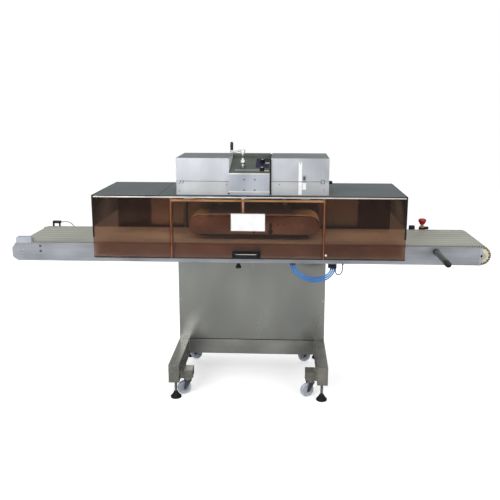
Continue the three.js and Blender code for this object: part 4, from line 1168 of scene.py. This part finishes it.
def console():
    """The sloping console between the boxes, with its panel, strips (one a painted highlight on the front
    fold), labels, dark patches of painted shade for slots, and crank flange.
    """
    eased("console_housing", "console", 0.8)
    panel = bmesh.new()
    width = (CONSOLE[0] + 0.6, CONSOLE[1] - 0.6)
    tile(panel, width, (CONSOLE_FRONT + 2, CONSOLE_FRONT + PANEL_RUN), 1.0, 0.4)
    block(panel, width, (290, 345), (BOX_TOP - 0.6, BOX_TOP + 0.8), 0.4)
    block(panel, width, (289, 290.4), (1363, BOX_TOP), 0.4)
    piece("console_panel", panel, "panel")
    # The first strip, along the console's front fold, is a painted highlight on the fold.
    blocks("console_highlight_and_trim_strips", "trim", [
        (CONSOLE, (CONSOLE_FRONT - 1.2, CONSOLE_FRONT + 1.6), (1294, 1300.6), 0.5),
        ((CONSOLE[0] - 2, CONSOLE[1] + 2), (CONSOLE_FRONT - 3, CONSOLE_FRONT + 0.2), (1196, 1201), 0.6)])
    strip, field, labels = bmesh.new(), bmesh.new(), bmesh.new()
    tile(strip, (-80, 60), (29, 41), 0.7, 0.3, 1)
    piece("console_marker_strip", strip, "box_base")
    tile(field, (32, 106), (78, 250), 0.5, 0.2, 1)
    piece("console_knob_field", field, "navy")
    tile(labels, (84, 108), (160, 172), 0.5, 0.2, 1.5)
    tile(labels, (84, 108), (16, 28), 0.5, 0.2, 1.5)
    piece("console_blank_labels", labels, "white")
    # Flush dark patches where the slots are: painted shade standing for the openings.
    depth = (CONSOLE_FRONT - 0.7, CONSOLE_FRONT + 0.4)
    blocks("console_slot_shade_patches", "dark_steel", [((x - 5, x + 5), depth, (z - 3, z + 3), 0.8)
                                           for x in (-26, 32) for z in (1208, 1265)])
    foot = bmesh.new()
    bar(foot, (-111, CONSOLE_FRONT - 1, 1188), (-111, CONSOLE_FRONT - 6, 1188), 4.5, 16, 1)
    piece("console_stop", foot, "black")
    flange = bmesh.new()
    lathe(flange, [(8.4, 0.9), (13, 0.9), (13, 3), (11.5, 5), (10.5, 10), (8.4, 10), (8.4, 0.9)],
          on_panel(*CRANK), 32)
    piece("crank_flange", flange, "gunmetal")


def knob(node, x, along):
    """A knob with finger flutes, a bright cap and a white pointer line."""
    grip, cap, line = bmesh.new(), bmesh.new(), bmesh.new()
    made = bmesh.ops.create_cone(grip, cap_ends=True, segments=24, radius1=0.0135, radius2=0.0122,
                                 depth=0.017, matrix=Matrix.Translation((0, 0, 0.0105)))
    for vert in made["verts"]:
        if round(math.atan2(vert.co.y, vert.co.x) / (2 * math.pi) * 24) % 3 == 0:
            vert.co.xy *= 0.88
    lathe(grip, [(0, -9), (3.5, -9), (3.5, 1), (13, 1.6), (13, 2.2), (0, 2.2)], Matrix(), 20)
    lathe(cap, [(0, 18.6), (6.8, 18.6), (6.8, 19.4), (6, 20), (0, 20)], Matrix(), 24)
    mark = Matrix.Translation((0, 0.0096, 0.0190)) @ Matrix.Diagonal((0.0014, 0.0032, 0.0008, 1))
    bmesh.ops.create_cube(line, size=1, matrix=mark)
    parts = ((grip, "_grip", "black"), (cap, "_cap", "bright_steel"), (line, "_pointer", "white"))
    for bm, name, look in parts:
        bmesh.ops.transform(bm, matrix=on_panel(x, along), verts=bm.verts)
        piece(node + name, bm, look, node, (node,))


CRANK_RINGS = [(1341.5, 1349, 13.3), (1374, 1391, 8.7), (1395.6, 1398.4, 13.4)]
ARM_BENDS = [(0, 2), (-12, 3.4), (-24, 2.6), (-36, -1.4), (-48, -3.6), (-CRANK_ARM, -3)]
ARM_RADIUS = 5.6


def crank():
    """The lifting screw and its collars, the bent arm with a ball at each bend, the pin and the grip."""
    x, y = CRANK
    arm_height = PANEL_FOOT + 112
    shaft = bmesh.new()
    lathe(shaft, [(0, 1026), (6, 1026), (7, 1028), (7, 1340), (12, 1341), (13, 1343), (13, 1360),
                  (11.5, 1362), (8, 1364), (8, 1384), (9, 1392), (12.4, 1396), (13, 1399), (13, 1417),
                  (11, 1420), (0, 1421)], upright(x, y), 32)
    piece("crank_screw", shaft, "trim", "crank", ("crank",))
    rings = bmesh.new()
    for low, high, radius in CRANK_RINGS:
        bar(rings, (x, y, low), (x, y, high), radius, 32, 0.5)
    piece("crank_rings", rings, "dark_steel", "crank", ("crank",))
    arm = bmesh.new()
    bends = [(x + out, y, arm_height + up) for out, up in ARM_BENDS]
    for start, end in zip(bends, bends[1:]):
        bar(arm, start, end, ARM_RADIUS, 16)
        bmesh.ops.create_uvsphere(arm, u_segments=16, v_segments=8, radius=ARM_RADIUS * MM,
                                  matrix=Matrix.Translation(at(*end)))
    bar(arm, (x - CRANK_ARM, y, arm_height - 8), (x - CRANK_ARM, y, arm_height + 5), 9, 24, 1.5)
    piece("crank_arm", arm, "trim", "crank", ("crank",))
    pin = bmesh.new()
    bar(pin, (x - CRANK_ARM, y, arm_height), (x - CRANK_ARM, y, arm_height + 44), 3, 16, 0.5)
    piece("crank_pin", pin, "bright_steel", "crank", ("crank",))
    z = arm_height + 5.3
    grip = bmesh.new()
    lathe(grip, [(3.4, z), (7, z), (7.8, z + 3), (8.5, z + 14), (8.6, z + 30), (8.2, z + 38), (7, z + 43),
                 (4.5, z + 45.6), (0, z + 46), (0, z + 41), (3.4, z + 41), (3.4, z)],
          upright(x - CRANK_ARM, y), 32)
    piece("crank_grip_handle", grip, "black", "crank_grip", ("crank_grip",))


def latch(node, x):
    """A toggle latch: base plate, lever with a turned lip, and its hook."""
    base, lever = bmesh.new(), bmesh.new()
    face = BOX_Y[0] - 0.3
    block(base, (x - 11, x + 11), (face - 1.6, face), (1240, 1263), 0.6)
    for side in (-1, 1):
        sides = sorted((x + side * 9, x + side * 7.4))
        block(base, sides, (face - 6, face - 1), (1243, 1262), 0.4)
    piece(node + "_base", base, "bright_steel", node, (node,))
    block(lever, (x - 7, x + 7), (face - 7, face - 4.6), (1242, 1260), 1)
    block(lever, (x - 6, x + 6), (face - 8.8, face - 6), (1241.4, 1245), 1)
    bar(lever, (x - 8.6, face - 4, 1257), (x + 8.6, face - 4, 1257), 1.8, 12, 0.4)
    piece(node + "_lever", lever, "side_plate", node, (node,))


def boxes():
    """The boxes' base, covers and latches, the seals at their seam, the filler beside the console, and a white
    sheet of painted highlight on the left box's side wall.
    """
    eased("housing_base", "box_base", 0.6)
    eased("left_box_cover", "box", 0.9)
    eased("right_box_cover", "box", 0.9)
    latch("left_latch", LEFT_BOX[0] + 32)
    latch("right_latch", RIGHT_BOX[1] - 35)
    front, back = BOX_Y
    seam = (SEAM - 1.8, SEAM)
    gasket = bmesh.new()
    for left, right in (LEFT_BOX, RIGHT_BOX):
        block(gasket, (left - 0.5, right + 0.5), (front - 0.5, front + 1.5), seam, 0.3)
        block(gasket, (left - 0.5, right + 0.5), (back - 1.5, back + 0.5), seam, 0.3)
        for end, out in ((left, -0.5), (right, 0.5)):
            block(gasket, sorted((end + out, end - 3 * out)), BOX_Y, seam, 0.3)
    piece("box_seam_gaskets", gasket, "dark_steel")
    cover_fittings("left", *LEFT_BOX)
    cover_fittings("right", *RIGHT_BOX)
    blocks("housing_gap_filler", "rubber", [((113.5, 120.5), (-10, 338), (1181, 1376), 0.6)])
    # A white sheet on the left box's side wall above the panel: painted highlight where the wall catches the
    # light.
    sheet = bmesh.new()
    outline = [(9, 1308), (286, 1364), (286, 1377), (9, 1377)]
    plate(sheet, [(LEFT_BOX[1] + 0.2, y, z) for y, z in outline], (0.5, 0, 0))
    piece("left_cover_side_highlight_sheet", sheet, "white", "left_cover")
    rivets = [(-388, 1241), (-388, 1197), (-125, 1235), (166, 1237), (413, 1208)]
    screw_heads("box_rivets", [(x, front, z) for x, z in rivets], "dark_steel", radius=3)


def cover_fittings(side, left, right):
    """A box cover's grey lid and its two hinges, whose knuckles stay on the box."""
    front, back = BOX_Y
    height = (BOX_TOP - 0.4, BOX_TOP + 0.7)
    blocks(f"{side}_cover_lid", "lid", [((left + 0.8, right - 0.8), (front + 0.8, back - 0.8), height, 0.3)],
           f"{side}_cover")
    knuckles, leaves = bmesh.new(), bmesh.new()
    depth = (back + 0.1, back + 1.4)
    for middle in (left + 60, right - 60):
        width = (middle - 22, middle + 22)
        hinge(knuckles, middle, back + 1.4, SEAM - 1.4, 24, 1.1)
        block(knuckles, width, depth, (SEAM - 22, SEAM - 2.6), 0.4)
        block(leaves, width, depth, (SEAM + 3, SEAM + 22), 0.4)
    piece(f"{side}_hinge_knuckles", knuckles, "bright_steel")
    piece(f"{side}_hinge_leaves", leaves, "bright_steel", f"{side}_cover")


def right_box_fittings():
    """The white strip, switch and blank label on the right box, and the plug in its side."""
    face = BOX_Y[0]
    thin = (face - 2, face - 0.2)
    arms = [(sorted((281.5 + slant * 3, 281.5 + slant * 10)), thin, (1344, 1360), 0.6) for slant in (-1, 1)]
    blocks("white_strip_upper", "white", [((272, 291), thin, (SEAM + 1.5, 1348), 0.6), *arms], "right_cover")
    label = ((294, 314), (face - 1.4, face - 0.2), (1209, 1246), 0.4)
    blocks("white_strip_lower", "white", [((272, 291), thin, (1180, SEAM - 2.4), 0.6), label])
    blocks("cover_switch", "cable", [((295, 312), (face - 7, face - 0.2), (1256, 1288), 1.6)], "right_cover")
    blocks("cover_switch_rocker", "dark_steel", [((298, 309), (face - 9, face - 6), (1262, 1282), 1.2)],
           "right_cover")
    plug = bmesh.new()
    lathe(plug, [(0, 0), (12, 0), (12, 5), (9, 6.5), (9, 18), (10.5, 20), (10.5, 30), (8, 36), (0, 38)],
          facing(RIGHT_BOX[1] + 0.1, 290, 1214, (1, 0, 0)), 24)
    piece("box_side_plug", plug, "black")


# ---------------------------------------------------------------- fittings on the rear rail
ESTOP = (1060, 517.3)


def estop():
    """The emergency stop's box with its gland and side arm, the collar, and the mushroom head."""
    x, y = ESTOP
    base, collar, button = bmesh.new(), bmesh.new(), bmesh.new()
    block(base, (x - 18, x + 18), (500.4, 534.3), (873, 908), 3, 3)
    block(base, (x - 110, x - 17), (500.4, 508.3), (873, 894), 1.4)
    block(base, (x - 82, x - 46), (500.4, 526.3), (874, 920), 5, 3)
    bar(base, (x + 17, y, 904), (x + 40, y, 904), 9, 24, 2)
    piece("estop_box", base, "black", replaces=("estop_base",))
    lathe(collar, [(6.5, 906), (15, 906), (16, 908), (16, 914), (14, 918), (6.5, 918), (6.5, 906)],
          upright(x, y), 32)
    piece("estop_collar", collar, "beige", replaces=("estop_base",))
    lathe(button, [(0, 900), (5.2, 900), (5.2, 925), (12.6, 925.3), (15, 930), (22, 943), (24.4, 946.5),
                   (25, 950), (24.4, 955), (21.5, 959.6), (15, 962.6), (8, 963.8), (0, 964)],
          upright(x, y), 40)
    piece("estop_mushroom", button, "red", "estop_button", ("estop_button",))


def sensor():
    """The infeed sensor with its lens and lamp, and the pale strip on its bracket."""
    eased("infeed_sensor", "black", 1.6)
    lens = bmesh.new()
    bar(lens, (-1289.1, 511, 922), (-1290.6, 511, 922), 4.5, 20, 0.5)
    bar(lens, (-1250, 511, 929.8), (-1250, 511, 931), 2, 12, 0.3)
    piece("sensor_lens", lens, "red")
    blocks("sensor_light_strip", "cover", [((-1288.6, -1277.4), (504.6, 505.8), (858, 914), 0.4)])


# ---------------------------------------------------------------- the whole machine
def floor_finish():
    """White to the eye, and a dull workshop floor to what stands on it."""
    made = finish("pale_floor", 0xF4F4F4, 0xFFFFFF, (0.8, 0.9), 0, (2, 2, 2), (0.6, 0.6, 0.6),
                  Emission_Color=(1, 1, 1, 1))
    tree = made.node_tree
    shader = tree.nodes["Principled BSDF"]
    ray = tree.nodes.new("ShaderNodeLightPath")
    seen = shader.inputs["Base Color"].links[0].from_socket
    behind = mapped(tree, object_axis(tree, "Y"), -0.7, 0.6)
    room = blended(tree, behind, 0xC2C2C0, 0x6A6A6A)
    tree.links.new(blended(tree, ray.outputs["Is Camera Ray"], room, seen), shader.inputs["Base Color"])
    glow = maths(tree, "MULTIPLY", ray.outputs["Is Camera Ray"], 0.45)
    tree.links.new(glow, shader.inputs["Emission Strength"])
    return made


def floor():
    bm = bmesh.new()
    bmesh.ops.create_grid(bm, x_segments=1, y_segments=1, size=9)
    mesh = bpy.data.meshes.new("studio_floor")
    bm.to_mesh(mesh)
    bm.free()
    mesh.materials.append(floor_finish())
    ground = bpy.data.objects.new("studio_floor", mesh)
    bpy.context.scene.collection.objects.link(ground)


camera()
cords()
studio()
floor()
stand()
for corner, side, y, swivel in CASTERS:
    caster(corner, side, y, swivel)
    levelling_foot(corner, side, FOOT_Y[0 if y < 0 else 1])
cabinet()
conveyor()
tunnel()
sealing_head()
boxes()
console()
knob("upper_knob", 68, 180)
knob("lower_knob", 70, 30)
crank()
right_box_fittings()
estop()
sensor()
hose_fittings()
